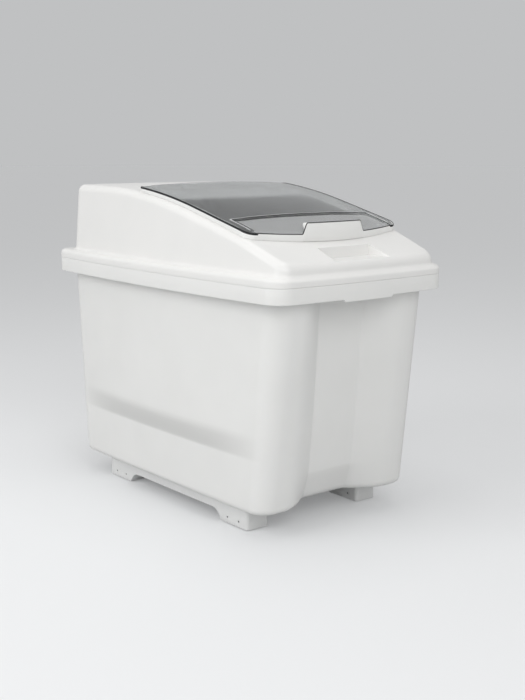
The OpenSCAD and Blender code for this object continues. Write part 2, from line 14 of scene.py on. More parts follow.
import bmesh
import bpy
import numpy as np
from mathutils import Euler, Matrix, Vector


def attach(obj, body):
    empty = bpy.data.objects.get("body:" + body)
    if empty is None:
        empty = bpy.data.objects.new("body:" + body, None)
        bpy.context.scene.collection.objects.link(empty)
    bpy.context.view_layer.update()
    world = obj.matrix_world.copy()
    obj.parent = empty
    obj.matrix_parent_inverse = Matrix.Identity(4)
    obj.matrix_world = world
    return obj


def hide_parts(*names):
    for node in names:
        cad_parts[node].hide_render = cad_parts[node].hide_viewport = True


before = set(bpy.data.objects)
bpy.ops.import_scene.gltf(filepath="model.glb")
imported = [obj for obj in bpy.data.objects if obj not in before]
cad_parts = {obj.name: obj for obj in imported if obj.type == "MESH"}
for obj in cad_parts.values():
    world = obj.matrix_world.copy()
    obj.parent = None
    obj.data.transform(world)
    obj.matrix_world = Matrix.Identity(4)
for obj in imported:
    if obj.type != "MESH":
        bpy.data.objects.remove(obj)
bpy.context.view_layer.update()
LOG = logging.getLogger("flour_bin")
MM = 0.001
# Name of the mesh attribute that says where painted shade darkens the tub: the band along the long sides and
# the channel's toe
PAINTED_SHADE = "press"


class Side(Enum):
    """The two long sides of the bin."""

    LEFT = -1
    RIGHT = 1

    @property
    def word(self) -> str:
        """The side's name as the CAD nodes use it."""
        return self.name.lower()


class Body(Enum):
    """The bodies that pieces ride on, apart from the rollers."""

    BIN = "bin"
    HOOD = "hood"
    LID = "lid"


class Axis(Enum):
    """The axes that turned parts lie along."""

    X = "x"
    Z = "z"


def lerp(a: Any, b: Any, k: Any) -> Any:
    """The value a share k of the way from a to b."""
    return a + (b - a) * k


def ramp(v: Any, lo: float, hi: float) -> Any:
    """How far v is from lo to hi, held between 0 and 1."""
    return np.clip((np.asarray(v, float) - lo) / (hi - lo), 0.0, 1.0)


def smooth(k: Any) -> Any:
    """A share eased at both ends."""
    return k * k * (3.0 - 2.0 * k)


def bow(s: Any) -> Any:
    """A parabola that is 1 in the middle and 0 at -1 and 1."""
    return 1.0 - s * s


def soft_positive(v: Any, blend: float) -> Any:
    """v where it is positive and 0 elsewhere, with the bend rounded over a blend."""
    return 0.5 * (v + np.sqrt(v * v + blend * blend))


def quarter(steps: int) -> np.ndarray:
    """Angles in radians through a quarter turn."""
    return np.radians(np.linspace(0.0, 90.0, steps + 1))


def bend(r: float, steps: int) -> list[tuple[float, float]]:
    """A rounded edge through a quarter turn.

    Args:
        r: Its radius.
        steps: Its faces.

    Returns:
        Pairs of two distances, the first from 0 to r and the second from r to 0.
    """
    return [(r * (1.0 - math.cos(a)), r * (1.0 - math.sin(a))) for a in quarter(steps)]


def linear(hex_colour: str) -> tuple[float, float, float, float]:
    """An sRGB hex colour as linear RGBA.

    Args:
        hex_colour: Six hex digits, with or without a leading sign.

    Returns:
        Linear red, green and blue, and full alpha.
    """
    digits = hex_colour.lstrip("#")
    srgb = [int(digits[i:i + 2], 16) / 255.0 for i in (0, 2, 4)]
    lit = [c / 12.92 if c <= 0.04045 else ((c + 0.055) / 1.055) ** 2.4 for c in srgb]
    return (lit[0], lit[1], lit[2], 1.0)


def add_node(tree: bpy.types.NodeTree, kind: str, values: dict[Any, Any] | None = None,
             feeds: dict[Any, bpy.types.NodeSocket] | None = None, **settings: Any) -> bpy.types.Node:
    """Adds a node with its settings, its input values and its links.

    Args:
        tree: The shader or geometry tree.
        kind: The node's type name.
        values: Input values, by socket name or place.
        feeds: Sockets that feed inputs, by socket name or place.
        **settings: Properties of the node itself.

    Returns:
        The new node.
    """
    node = tree.nodes.new(kind)
    for name, value in settings.items():
        setattr(node, name, value)
    for key, value in (values or {}).items():
        node.inputs[key].default_value = value
    for key, socket in (feeds or {}).items():
        tree.links.new(socket, node.inputs[key])
    return node


def new_material(name: str) -> tuple[bpy.types.Material, bpy.types.NodeTree, bpy.types.Node]:
    """An empty node material with its output node.

    Args:
        name: The material's name.

    Returns:
        The material, its tree and its output node.
    """
    material = bpy.data.materials.new(name)
    material.use_nodes = True
    tree = material.node_tree
    tree.nodes.clear()
    return material, tree, tree.nodes.new("ShaderNodeOutputMaterial")


@dataclass(frozen=True)
class MouldedPlastic:
    """Moulded plastic: a broad cloudiness in its colour and a fine peel on its skin.

    The cloud is the uneven wall that a moulding cools with, and the peel breaks up its soft gloss.
    """

    name: str
    colour: str
    cloud: str
    roughness: float
    cloud_mm: float = 90.0
    peel_mm: float = 2.4
    peel_depth_mm: float = 0.05
    glow: float = 0.0
    # Colour of the painted shade, mixed in where the mesh attribute says; empty for none
    pressed: str = ""
    gloss_spread: float = 0.05
    peel_strength: float = 0.35
    ior: float = 1.5
    glow_mm: float = 6.0

    def build(self) -> bpy.types.Material:
        """The node material of this finish."""
        material, tree, output = new_material(self.name)
        place = add_node(tree, "ShaderNodeTexCoord").outputs["Object"]
        cloud = add_node(tree, "ShaderNodeTexNoise", {"Scale": 1.0 / (self.cloud_mm * MM), "Detail": 3.0,
                                                     "Roughness": 0.45}, {"Vector": place})
        tint = add_node(tree, "ShaderNodeMix", {6: linear(self.colour), 7: linear(self.cloud)},
                        {0: cloud.outputs["Fac"]}, data_type="RGBA")
        # Painted shade: the darker colour mixed in by the mesh attribute's share
        if self.pressed:
            press = add_node(tree, "ShaderNodeAttribute", attribute_name=PAINTED_SHADE)
            tint = add_node(tree, "ShaderNodeMix", {7: linear(self.pressed)},
                            {0: press.outputs["Fac"], 6: tint.outputs[2]}, data_type="RGBA")
        peel = add_node(tree, "ShaderNodeTexNoise", {"Scale": 1.0 / (self.peel_mm * MM), "Detail": 2.0},
                        {"Vector": place})
        gloss = add_node(tree, "ShaderNodeMapRange", {"To Min": self.roughness - self.gloss_spread,
                                                      "To Max": self.roughness + self.gloss_spread},
                         {"Value": cloud.outputs["Fac"]})
        skin = add_node(tree, "ShaderNodeBump",
                        {"Strength": self.peel_strength, "Distance": self.peel_depth_mm * MM},
                        {"Height": peel.outputs["Fac"]})
        shader = add_node(tree, "ShaderNodeBsdfPrincipled",
                          {"IOR": self.ior, "Subsurface Weight": self.glow,
                           "Subsurface Radius": (1.0, 0.96, 0.9), "Subsurface Scale": self.glow_mm * MM},
                          {"Base Color": tint.outputs[2], "Roughness": gloss.outputs["Result"],
                           "Normal": skin.outputs["Normal"]})
        tree.links.new(shader.outputs["BSDF"], output.inputs["Surface"])
        return material


@dataclass(frozen=True)
class SheetPlastic:
    """Formed polycarbonate sheet: see-through, with a slight haze where it has been wiped."""

    name: str
    colour: str
    wiped: str
    roughness: float
    clearness: float
    haze_mm: float = 45.0
    wipe_stretch: float = 0.35
    haze_low: float = 0.35
    haze_high: float = 0.75
    gloss_spread: float = 0.05
    ior: float = 1.45

    def build(self) -> bpy.types.Material:
        """The node material of this finish."""
        material, tree, output = new_material(self.name)
        place = add_node(tree, "ShaderNodeTexCoord").outputs["Object"]
        stretch = add_node(tree, "ShaderNodeMapping", {"Scale": (1.0, self.wipe_stretch, 1.0)},
                           {"Vector": place})
        haze = add_node(tree, "ShaderNodeTexNoise", {"Scale": 1.0 / (self.haze_mm * MM), "Detail": 5.0,
                                                    "Roughness": 0.6}, {"Vector": stretch.outputs["Vector"]})
        tint = add_node(tree, "ShaderNodeMix", {6: linear(self.colour), 7: linear(self.wiped)},
                        {0: haze.outputs["Fac"]}, data_type="RGBA")
        gloss = add_node(tree, "ShaderNodeMapRange",
                         {"From Min": self.haze_low, "From Max": self.haze_high, "To Min": self.roughness,
                          "To Max": self.roughness + self.gloss_spread},
                         {"Value": haze.outputs["Fac"]})
        shader = add_node(tree, "ShaderNodeBsdfPrincipled",
                          {"IOR": self.ior, "Transmission Weight": self.clearness},
                          {"Base Color": tint.outputs[2], "Roughness": gloss.outputs["Result"]})
        tree.links.new(shader.outputs["BSDF"], output.inputs["Surface"])
        return material


@dataclass(frozen=True)
class DrawnSteel:
    """Drawn steel: fine lines along the bar, in its gloss and its skin."""

    name: str
    colour: str
    dull: str
    roughness: float
    line_mm: float = 0.6
    line_stretch: float = 0.05
    line_depth_mm: float = 0.02
    line_strength: float = 0.2
    gloss_spread: float = 0.08

    def build(self) -> bpy.types.Material:
        """The node material of this finish."""
        material, tree, output = new_material(self.name)
        place = add_node(tree, "ShaderNodeTexCoord").outputs["Object"]
        along = add_node(tree, "ShaderNodeMapping", {"Scale": (self.line_stretch, 1.0, 1.0)},
                         {"Vector": place})
        lines = add_node(tree, "ShaderNodeTexNoise", {"Scale": 1.0 / (self.line_mm * MM), "Detail": 3.0},
                         {"Vector": along.outputs["Vector"]})
        tint = add_node(tree, "ShaderNodeMix", {6: linear(self.colour), 7: linear(self.dull)},
                        {0: lines.outputs["Fac"]}, data_type="RGBA")
        gloss = add_node(tree, "ShaderNodeMapRange", {"To Min": self.roughness - self.gloss_spread,
                                                      "To Max": self.roughness + self.gloss_spread},
                         {"Value": lines.outputs["Fac"]})
        skin = add_node(tree, "ShaderNodeBump",
                        {"Strength": self.line_strength, "Distance": self.line_depth_mm * MM},
                        {"Height": lines.outputs["Fac"]})
        shader = add_node(tree, "ShaderNodeBsdfPrincipled", {"Metallic": 1.0},
                          {"Base Color": tint.outputs[2], "Roughness": gloss.outputs["Result"],
                           "Normal": skin.outputs["Normal"]})
        tree.links.new(shader.outputs["BSDF"], output.inputs["Surface"])
        return material


# Natural polyethylene, rotationally moulded: milky white, a soft wide gloss, light scattered under the skin;
# its greyer second colour is painted shade on the band along the sides and on the channel's toe
TUB_WHITE = MouldedPlastic("natural polyethylene, rotationally moulded", "EBEBE9", "E5E5E3", 0.42, glow=0.15,
                           pressed="D2D2D0")
# Pigmented polyethylene: a warmer, opaque white with the same fine skin
HOOD_WHITE = MouldedPlastic("white polyethylene, rotationally moulded", "EEEDEB", "E7E7E5", 0.36)
# Injection-moulded polypropylene: a greyer off-white, a little duller than the tub
RAIL_WHITE = MouldedPlastic("off-white polypropylene, injection moulded", "EAEAE9", "E3E4E3", 0.5,
                            cloud_mm=40.0)
# Cast nylon: grey, dry and evenly dull
ROLLER_GREY = MouldedPlastic("grey cast nylon", "86898A", "7A7D7F", 0.55, cloud_mm=12.0, peel_mm=0.9)
# Smoked polycarbonate sheet: lets the hood show through a step darker, with a sharp gloss
LID_SMOKE = SheetPlastic("smoked polycarbonate sheet", "ECEEEF", "F0F2F2", 0.03, 1.0)
# The same sheet in the sunken panel, hazier and lighter: its lighter, part-opaque colour is painted light
# standing in for the flat panel's bright reflection and the light under it
LID_PANEL = SheetPlastic("smoked polycarbonate, satin underside", "E1E3E3", "E8E9E9", 0.16, 0.7)
# Painted highlight: the sheet as a light milky colour for the strip along the top of the panel's step
LID_STEP_HIGHLIGHT = SheetPlastic("stretched polycarbonate", "DCDDDD", "D2D4D4", 0.3, 0.3)
# Painted shade: a very dark colour along the smoked sheet's bends and the step's foot, standing in for the
# dark look of a clear edge that the eye looks along
LID_EDGE_SHADE = SheetPlastic("smoked polycarbonate edge", "0C0E10", "131517", 0.36, 0.0)
# The lid's frame and handle: an opaque white moulding, smoother than the hood
LID_WHITE = MouldedPlastic("white polycarbonate, injection moulded", "EFEFED", "EAEAE8", 0.34, cloud_mm=60.0)
# Cold-drawn steel: bright with fine lines along the pin
PIN_STEEL = DrawnSteel("cold-drawn stainless steel", "C2C3C4", "A9ABAC", 0.3)
# The same bar made very dark for the axles: painted shade, so its ends show as dark dots in the rails where
# the holes lie in shade
AXLE_STEEL = DrawnSteel("blackened drawn steel", "4A4B4C", "3A3B3C", 0.42)


def skin_mesh(name: str, rows: Sequence[np.ndarray], around: bool = True, along: bool = False,
              cap_first: bool = False, cap_last: bool = False) -> bpy.types.Mesh:
    """Joins rows of points into one skin of quads.

    Args:
        name: The mesh's name.
        rows: Rows of points in millimetres, all of one length.
        around: Whether each row closes on itself.
        along: Whether the last row joins the first.
        cap_first: Whether the first row is closed by one face.
        cap_last: Whether the last row is closed by one face.

    Returns:
        The mesh, in metres.
    """
    points = np.asarray(rows, float) * MM
    count, width = points.shape[:2]
    steps = width if around else width - 1
    lifts = count if along else count - 1
    faces: list[tuple[int, ...]] = []
    for j in range(lifts):
        low, high = j * width, ((j + 1) % count) * width
        for i in range(steps):
            n = (i + 1) % width
            faces.append((low + i, low + n, high + n, high + i))
    if cap_first:
        faces.append(tuple(reversed(range(width))))
    if cap_last:
        faces.append(tuple(range((count - 1) * width, count * width)))
    mesh = bpy.data.meshes.new(name)
    mesh.from_pydata(points.reshape(-1, 3).tolist(), [], faces)
    mesh.validate()
    return mesh


def turned_mesh(name: str, profile: Sequence[tuple[float, float]], segments: int,
                axis: Axis) -> bpy.types.Mesh:
    """Turns a closed profile round an axis through the origin.

    Args:
        name: The mesh's name.
        profile: Pairs of radius and place along the axis, in millimetres, seen anticlockwise.
        segments: Faces round the axis.
        axis: The axis it turns about.

    Returns:
        The turned mesh, in metres, with its doubles merged.
    """
    angles = np.linspace(0.0, 2.0 * math.pi, segments, endpoint=False)
    rows = []
    for radius, place in profile:
        c, s, p = radius * np.cos(angles), radius * np.sin(angles), np.full(segments, place)
        rows.append(np.stack([p, c, s], 1) if axis is Axis.X else np.stack([c, s, p], 1))
    mesh = skin_mesh(name, rows, along=True)
    shape = bmesh.new()
    shape.from_mesh(mesh)
    bmesh.ops.remove_doubles(shape, verts=shape.verts, dist=1e-6)
    bmesh.ops.recalc_face_normals(shape, faces=shape.faces)
    shape.to_mesh(mesh)
    shape.free()
    return mesh


def new_object(name: str, mesh: bpy.types.Mesh) -> bpy.types.Object:
    """Links a mesh into the scene as an object at the origin."""
    thing = bpy.data.objects.new(name, mesh)
    bpy.context.scene.collection.objects.link(thing)
    return thing


def settled(thing: bpy.types.Object) -> bpy.types.Mesh:
    """A plain mesh of an object with its modifiers applied."""
    bpy.context.view_layer.update()
    graph = bpy.context.evaluated_depsgraph_get()
    return bpy.data.meshes.new_from_object(thing.evaluated_get(graph), depsgraph=graph)


def dress(thing: bpy.types.Object, finish: bpy.types.Material | None, body: str,
          nodes: Sequence[str] = (), sharp_deg: float = 32.0) -> bpy.types.Object:
    """Gives a finished piece its shading, finish, body and the nodes it stands for.

    Args:
        thing: The piece, in place.
        finish: Its material, or None where the mesh already has it.
        body: The body it rides on.
        nodes: CAD nodes that it replaces.
        sharp_deg: Edges sharper than this stay sharp.

    Returns:
        The same piece.
    """
    mesh = thing.data
    mesh.shade_smooth()
    mesh.set_sharp_from_angle(angle=math.radians(sharp_deg))
    if finish is not None:
        mesh.materials.clear()
        mesh.materials.append(finish)
    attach(thing, body)
    if nodes:
        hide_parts(*nodes)
    LOG.info("%s: %d faces on %s", thing.name, len(mesh.polygons), body)
    return thing


def add_socket(tree: bpy.types.NodeTree, name: str, kind: str, out: bool = False) -> str:
    """Adds a named input or output to a tree and gives its identifier."""
    way = "OUTPUT" if out else "INPUT"
    return tree.interface.new_socket(name=name, in_out=way, socket_type=kind).identifier


@dataclass
class NodeTool:
    """A Geometry Nodes tree with named inputs, run once on a source to give a plain mesh."""

    name: str
    tree: bpy.types.NodeTree = field(init=False)
    inputs: dict[str, str] = field(init=False, default_factory=dict)

    def __post_init__(self) -> None:
        """Makes the empty tree with its geometry sockets."""
        self.tree = bpy.data.node_groups.new(self.name, "GeometryNodeTree")
        add_socket(self.tree, "Geometry", "NodeSocketGeometry")
        add_socket(self.tree, "Geometry", "NodeSocketGeometry", out=True)

    def ask(self, name: str, kind: str) -> None:
        """Adds a named input."""
        self.inputs[name] = add_socket(self.tree, name, kind)

    def close(self, shape: bpy.types.NodeSocket, material: bpy.types.NodeSocket) -> None:
        """Ends the tree in Realize Instances and Set Material.

        Args:
            shape: The socket with the finished shape.
            material: The socket with its material.
        """
        real = add_node(self.tree, "GeometryNodeRealizeInstances", feeds={"Geometry": shape})
        paint = add_node(self.tree, "GeometryNodeSetMaterial",
                         feeds={"Geometry": real.outputs[0], "Material": material})
        add_node(self.tree, "NodeGroupOutput", feeds={0: paint.outputs[0]})

    def run(self, name: str, source: bpy.types.Mesh, values: dict[str, Any]) -> bpy.types.Object:
        """Runs the tree on a source mesh.

        Args:
            name: The new object's name.
            source: The path or the places that the tree starts from.
            values: The tree's inputs by name.

        Returns:
            An object with the plain mesh that the tree made.
        """
        carrier = new_object(name + "_source", source)
        modifier = carrier.modifiers.new(self.name, "NODES")
        modifier.node_group = self.tree
        for key, value in values.items():
            modifier[self.inputs[key]] = value
        mesh = settled(carrier)
        carrier.modifiers.remove(modifier)
        bpy.data.objects.remove(carrier)
        mesh.name = name
        return new_object(name, mesh)


class BeadTool(NodeTool):
    """Sweeps an upright oval bead along a path."""

    def __post_init__(self) -> None:
        """Builds the tree: path to curve, oval profile, sweep."""
        super().__post_init__()
        for name, kind in (("Width", "NodeSocketFloat"), ("Height", "NodeSocketFloat"),
                           ("Sides", "NodeSocketInt"), ("Material", "NodeSocketMaterial")):
            self.ask(name, kind)
        entry = add_node(self.tree, "NodeGroupInput").outputs
        line = add_node(self.tree, "GeometryNodeMeshToCurve", feeds={"Mesh": entry["Geometry"]})
        upright = add_node(self.tree, "GeometryNodeSetCurveNormal", feeds={"Curve": line.outputs[0]})
        upright.mode = "Z_UP"
        ring = add_node(self.tree, "GeometryNodeCurvePrimitiveCircle", {"Radius": 0.5},
                        {"Resolution": entry["Sides"]})
        size = add_node(self.tree, "ShaderNodeCombineXYZ", {"Z": 1.0},
                        {"X": entry["Width"], "Y": entry["Height"]})
        oval = add_node(self.tree, "GeometryNodeTransform",
                        feeds={"Geometry": ring.outputs["Curve"], "Scale": size.outputs[0]})
        sweep = add_node(self.tree, "GeometryNodeCurveToMesh", {"Fill Caps": True},
                         {"Curve": upright.outputs[0], "Profile Curve": oval.outputs[0]})
        self.close(sweep.outputs[0], entry["Material"])


class RowTool(NodeTool):
    """Puts one part at each of a set of places."""

    def __post_init__(self) -> None:
        """Builds the tree: places to points, the part on each."""
        super().__post_init__()
        self.ask("Part", "NodeSocketObject")
        self.ask("Material", "NodeSocketMaterial")
        entry = add_node(self.tree, "NodeGroupInput").outputs
        part = add_node(self.tree, "GeometryNodeObjectInfo", {"As Instance": True},
                        {"Object": entry["Part"]})
        points = add_node(self.tree, "GeometryNodeMeshToPoints", feeds={"Mesh": entry["Geometry"]})
        row = add_node(self.tree, "GeometryNodeInstanceOnPoints",
                       feeds={"Points": points.outputs[0], "Instance": part.outputs["Geometry"]})
        self.close(row.outputs[0], entry["Material"])

    def place(self, name: str, part: bpy.types.Mesh, places: Sequence[Sequence[float]],
              material: bpy.types.Material) -> bpy.types.Object:
        """Repeats a part at places given in millimetres.

        Args:
            name: The new object's name.
            part: The part's mesh, about the origin.
            places: Where its copies go.
            material: Its finish.

        Returns:
            One object with all the copies.
        """
        source = bpy.data.meshes.new(name + "_places")
        source.from_pydata((np.asarray(places, float) * MM).tolist(), [], [])
        pattern = new_object(name + "_pattern", part)
        made = self.run(name, source, {"Part": pattern, "Material": material})
        bpy.data.objects.remove(pattern)
        return made


# How far the front's own places reach from the middle
FRONT_REACH = 128.0
# Places where the front is creased: the grip's end and the channel's floor
CREASE_XS = (47.4, 48.4, 49.2, 50.0, 50.8, 51.8, 53.0, 54.2, 55.4, 56.4, 57.4, 58.6)
# Places where it is steep: the finger step's side and the handle's flank
FLANK_XS = (59.8, 60.8, 61.4, 61.8, 62.2, 62.6, 63.4, 64.6, 66.0, 67.6, 69.2, 70.8, 72.2, 73.6, 75.0)


def half_front() -> np.ndarray:
    """Places across the front, right of the middle, close together at its creases and flanks."""
    return np.concatenate([np.linspace(0.0, 46.0, 10), CREASE_XS, FLANK_XS,
                           np.linspace(77.0, FRONT_REACH, 20)])


@dataclass(frozen=True)
class PlanGrid:
    """Samples rounded outlines seen from above, always with the same number of points."""

    corner_steps: int = 14
    side_steps: int = 91
    back_steps: int = 31
    front_reach: float = FRONT_REACH
    front_fit: float = 0.95

    @property
    def front_xs(self) -> np.ndarray:
        """Places across the whole front."""
        half = half_front()
        return np.concatenate([-half[:0:-1], half])

    @property
    def front(self) -> slice:
        """The outline's points along the front."""
        return slice(0, len(self.front_xs))

    def corner(self, x: float, y: float, r: float, start_deg: float) -> np.ndarray:
        """Points of a corner's arc."""
        a = np.radians(start_deg) + quarter(self.corner_steps)
        return np.stack([x + r * np.cos(a), y + r * np.sin(a)], 1)

    def outline(self, front_half: float, back_half: float, front: float, back: float, front_r: float,
                back_r: float, side_bow: float = 0.0, front_bow: float = 0.0,
                back_bow: float = 0.0) -> np.ndarray:
        """A rounded outline, anticlockwise from the front's left end.

        Args:
            front_half: Half width at the front.
            back_half: Half width at the back.
            front: The front edge's place.
            back: The back edge's place.
            front_r: Radius of the front corners.
            back_r: Radius of the back corners.
            side_bow: How far the sides bow out.
            front_bow: How far the front bows out.
            back_bow: How far the back bows out.

        Returns:
            Points in the plan, one row each.
        """
        straight = front_half - front_r
        xs = self.front_xs * min(1.0, self.front_fit * straight / self.front_reach)
        edge = np.stack([xs, front - front_bow * bow(xs / straight)], 1)
        s = np.linspace(-1.0, 1.0, self.side_steps + 2)[1:-1]
        k = (s + 1.0) / 2.0
        right = np.stack([lerp(front_half, back_half, k) + side_bow * bow(s),
                          lerp(front + front_r, back - back_r, k)], 1)
        b = np.linspace(1.0, -1.0, self.back_steps + 2)[1:-1]
        rear = np.stack([b * (back_half - back_r), back + back_bow * bow(b)], 1)
        return np.concatenate([
            edge, self.corner(straight, front + front_r, front_r, -90.0), right,
            self.corner(back_half - back_r, back - back_r, back_r, 0.0), rear,
            self.corner(back_r - back_half, back - back_r, back_r, 90.0), right[::-1] * (-1.0, 1.0),
            self.corner(-straight, front + front_r, front_r, 180.0)])


GRID = PlanGrid()


def at_height(plan: np.ndarray, z: Any) -> np.ndarray:
    """Points of a plan lifted to a height, one for all or one each."""
    return np.column_stack([plan, np.broadcast_to(np.asarray(z, float), len(plan))])


@dataclass
class Tub:
    """The bin's body: a tapered shell with a turned-down rim, a grip lip and a channel down its front."""

    foot_z: float = 45.0
    under_z: float = 454.0
    rim_z: float = 458.0
    skirt_z: float = 430.0
    skirt_mid_z: float = 444.0
    inner_start_z: float = 62.0
    wall: float = 4.0
    floor: float = 6.0
    foot_r: float = 12.0
    inner_r: float = 8.0
    under_r: float = 6.0
    bend_r: float = 3.0
    rim_edge_r: float = 0.6
    mouth_r: float = 2.0
    foot_half: float = 184.0
    top_half: float = 185.0
    foot_corner_r: float = 38.0
    top_corner_r: float = 50.0
    foot_front: float = -302.0
    top_front: float = -352.0
    foot_back: float = 314.0
    top_back: float = 352.0
    foot_bow: float = 2.0
    rim_half: float = 205.0
    rim_end: float = 372.0
    rim_r: float = 39.0
    side_bow: float = 13.0
    end_bow: float = 5.0
    channel_floor: float = 53.0
    channel_mouth: float = 128.0
    channel_depth: float = 31.0
    channel_flare: float = 20.0
    channel_crease: float = 0.035
    toe_depth: float = 8.5
    toe_z: float = 100.0
    toe_crease: float = 0.03
    band_low: float = 147.0
    band_high: float = 188.0
    band_out: float = 7.5
    band_end: float = 300.0
    grip_half: float = 55.0
    grip_drop: float = 4.0
    grip_ramp: float = 4.4
    level_low: float = 60.0
    level_high: float = 446.0
    level_step: float = 9.0
    # Where the painted shade of the band and of the toe sets in, from its edge or from the bin's middle
    toe_share: float = 0.3
    band_foot: tuple[float, float] = (-3.0, 7.0)
    band_head: tuple[float, float] = (-14.0, 10.0)
    band_side: tuple[float, float] = (150.0, 175.0)
    toe_head: tuple[float, float] = (-8.0, 4.0)
    toe_flank: tuple[float, float] = (-4.0, 12.0)
    toe_front: tuple[float, float] = (150.0, 200.0)

    def rim(self, inset: float) -> np.ndarray:
        """The rim's outline, set in by an amount."""
        half, end, r = self.rim_half - inset, self.rim_end - inset, self.rim_r - inset
        return GRID.outline(half, half, -end, end, r, r, self.side_bow, self.end_bow, self.end_bow)

    def channel(self, x: np.ndarray, z: float) -> np.ndarray:
        """Depth of the front channel, its creases just rounded.

        Args:
            x: Places across the front.
            z: The height.

        Returns:
            A depth for each place.
        """
        t = (np.abs(x) - self.channel_floor) / (self.channel_mouth - self.channel_floor)
        t = np.clip(soft_positive(t, self.channel_crease), 0.0, 1.0)
        toe = soft_positive((self.toe_z - z) / (self.toe_z - self.foot_z), self.toe_crease)
        rise = (z - self.foot_z) / (self.rim_z - self.foot_z)
        depth = self.channel_depth + self.channel_flare * rise * rise + self.toe_depth * toe
        return (1.0 - t * (3.0 - t * t) / 2.0) * depth

    def swell(self, z: float) -> float:
        """How far the long sides stand out at a height, most just above the pressed band."""
        rise = np.sin(math.pi / 2.0 * ramp(z, self.band_low, self.band_high))
        return float(self.band_out * rise * (1.0 - ramp(z, self.band_high, self.under_z)))

    def wall_ring(self, z: float, inset: float = 0.0) -> np.ndarray:
        """The wall at a height, with the channel and the band pressed into it.

        Args:
            z: The height.
            inset: How far the ring is set in from the outside.

        Returns:
            The ring's points.
        """
        k = (z - self.foot_z) / (self.under_z - self.foot_z)
        half = lerp(self.foot_half, self.top_half, k) - inset
        r = lerp(self.foot_corner_r, self.top_corner_r, k) - inset
        front = lerp(self.foot_front, self.top_front, k) + inset
        back = lerp(self.foot_back, self.top_back, k) - inset
        side_bow, end_bow = lerp(self.foot_bow, self.side_bow, k), lerp(0.0, self.end_bow, k)
        plan = GRID.outline(half, half, front, back, r, r, side_bow, end_bow, end_bow)
        s = np.clip((plan[:, 1] - (front + back) / 2.0) / ((back - front) / 2.0 - r), -1.0, 1.0)
        side = np.where(np.abs(plan[:, 0]) > half - r, np.sign(plan[:, 0]), 0.0)
        plan[:, 0] += side * self.swell(z) * bow(s)
        plan[GRID.front, 1] += self.channel(plan[GRID.front, 0], z)
        return at_height(plan, z)

    def skirt_low(self, plan: np.ndarray) -> np.ndarray:
        """The skirt's lower edge, which is lower at the grip lip.

        Args:
            plan: Points of the skirt, seen from above.

        Returns:
            A height for each point.
        """
        low = np.full(len(plan), self.skirt_z)
        lip = 1.0 - smooth(ramp(np.abs(plan[GRID.front, 0]), self.grip_half,
                                  self.grip_half + self.grip_ramp))
        low[GRID.front] -= self.grip_drop * lip
        return low

    def levels(self) -> np.ndarray:
        """Heights of the wall's rings, close together at the channel's toe and the band's edges."""
        return np.unique(np.concatenate([
            np.arange(self.level_low, self.level_high, self.level_step),
            self.toe_z + np.array([-4.0, -2.0, 0.0, 2.0, 4.0]),
            self.band_low + np.array([-4.0, -2.0, -0.6, 0.6, 2.0, 5.0]),
            self.band_high + np.array([-5.0, 5.0])]))

    def rings(self) -> list[np.ndarray]:
        """All the rings from the underside, round the rim, to the inner floor."""
        levels, wall = self.levels(), self.wall
        rings = [self.wall_ring(self.foot_z + c, s) for c, s in bend(self.foot_r, 7)]
        rings += [self.wall_ring(z) for z in levels]
        rings += [self.wall_ring(self.under_z - s, -c) for c, s in bend(self.under_r, 5)]
        rings += [at_height(self.rim(wall + s), self.under_z - c) for c, s in bend(self.bend_r, 4)]
        lip_r = wall / 2.0
        for a in np.linspace(0.0, math.pi, 9):
            plan = self.rim(lip_r + lip_r * math.cos(a))
            rings.append(at_height(plan, self.skirt_low(plan) + lip_r - lip_r * math.sin(a)))
        rings.append(at_height(self.rim(0.0), self.skirt_mid_z))
        rings += [at_height(self.rim(c), self.rim_z - s) for c, s in bend(self.rim_edge_r, 3)]
        rings += [at_height(self.wall_ring(self.rim_z, wall - s)[:, :2], self.rim_z - c)
                  for c, s in bend(self.mouth_r, 4)]
        rings += [self.wall_ring(z, wall) for z in levels[::-1][::2] if z > self.inner_start_z]
        floor_z = self.foot_z + self.floor
        rings += [self.wall_ring(floor_z + s, wall + c) for c, s in bend(self.inner_r, 5)]
        return rings

    def press(self, points: np.ndarray) -> np.ndarray:
        """How much painted shade each point takes, in the band along the long sides and on the front
        channel's toe.

        Args:
            points: Places on the wall, in millimetres.

        Returns:
            A share of painted shade for each point, 0 elsewhere.
        """
        x, y, z = points.T
        band = smooth(ramp(z - self.band_low, *self.band_foot))
        band = band * (1.0 - smooth(ramp(z - self.band_high, *self.band_head)))
        along = 1.0 - np.clip(np.abs(y) / self.band_end, 0.0, 1.0) ** 4
        toe = (1.0 - smooth(ramp(z - self.toe_z, *self.toe_head))) * ramp(-y, *self.toe_front)
        toe = toe * (1.0 - smooth(ramp(np.abs(x) - self.channel_floor, *self.toe_flank)))
        return band * along * ramp(np.abs(x), *self.band_side) + self.toe_share * toe

    def build(self) -> bpy.types.Object:
        """Builds and dresses the tub."""
        mesh = skin_mesh("tub_shell", self.rings(), cap_first=True, cap_last=True)
        points = np.empty(3 * len(mesh.vertices))
        mesh.vertices.foreach_get("co", points)
        # Painted shade: each point's share of the darker colour, on the band and the toe
        shares = self.press(points.reshape(-1, 3) / MM)
        mesh.attributes.new(PAINTED_SHADE, "FLOAT", "POINT").data.foreach_set("value", shares)
        return dress(new_object("tub_shell", mesh), TUB_WHITE.build(), Body.BIN.value,
                     ["tub"])


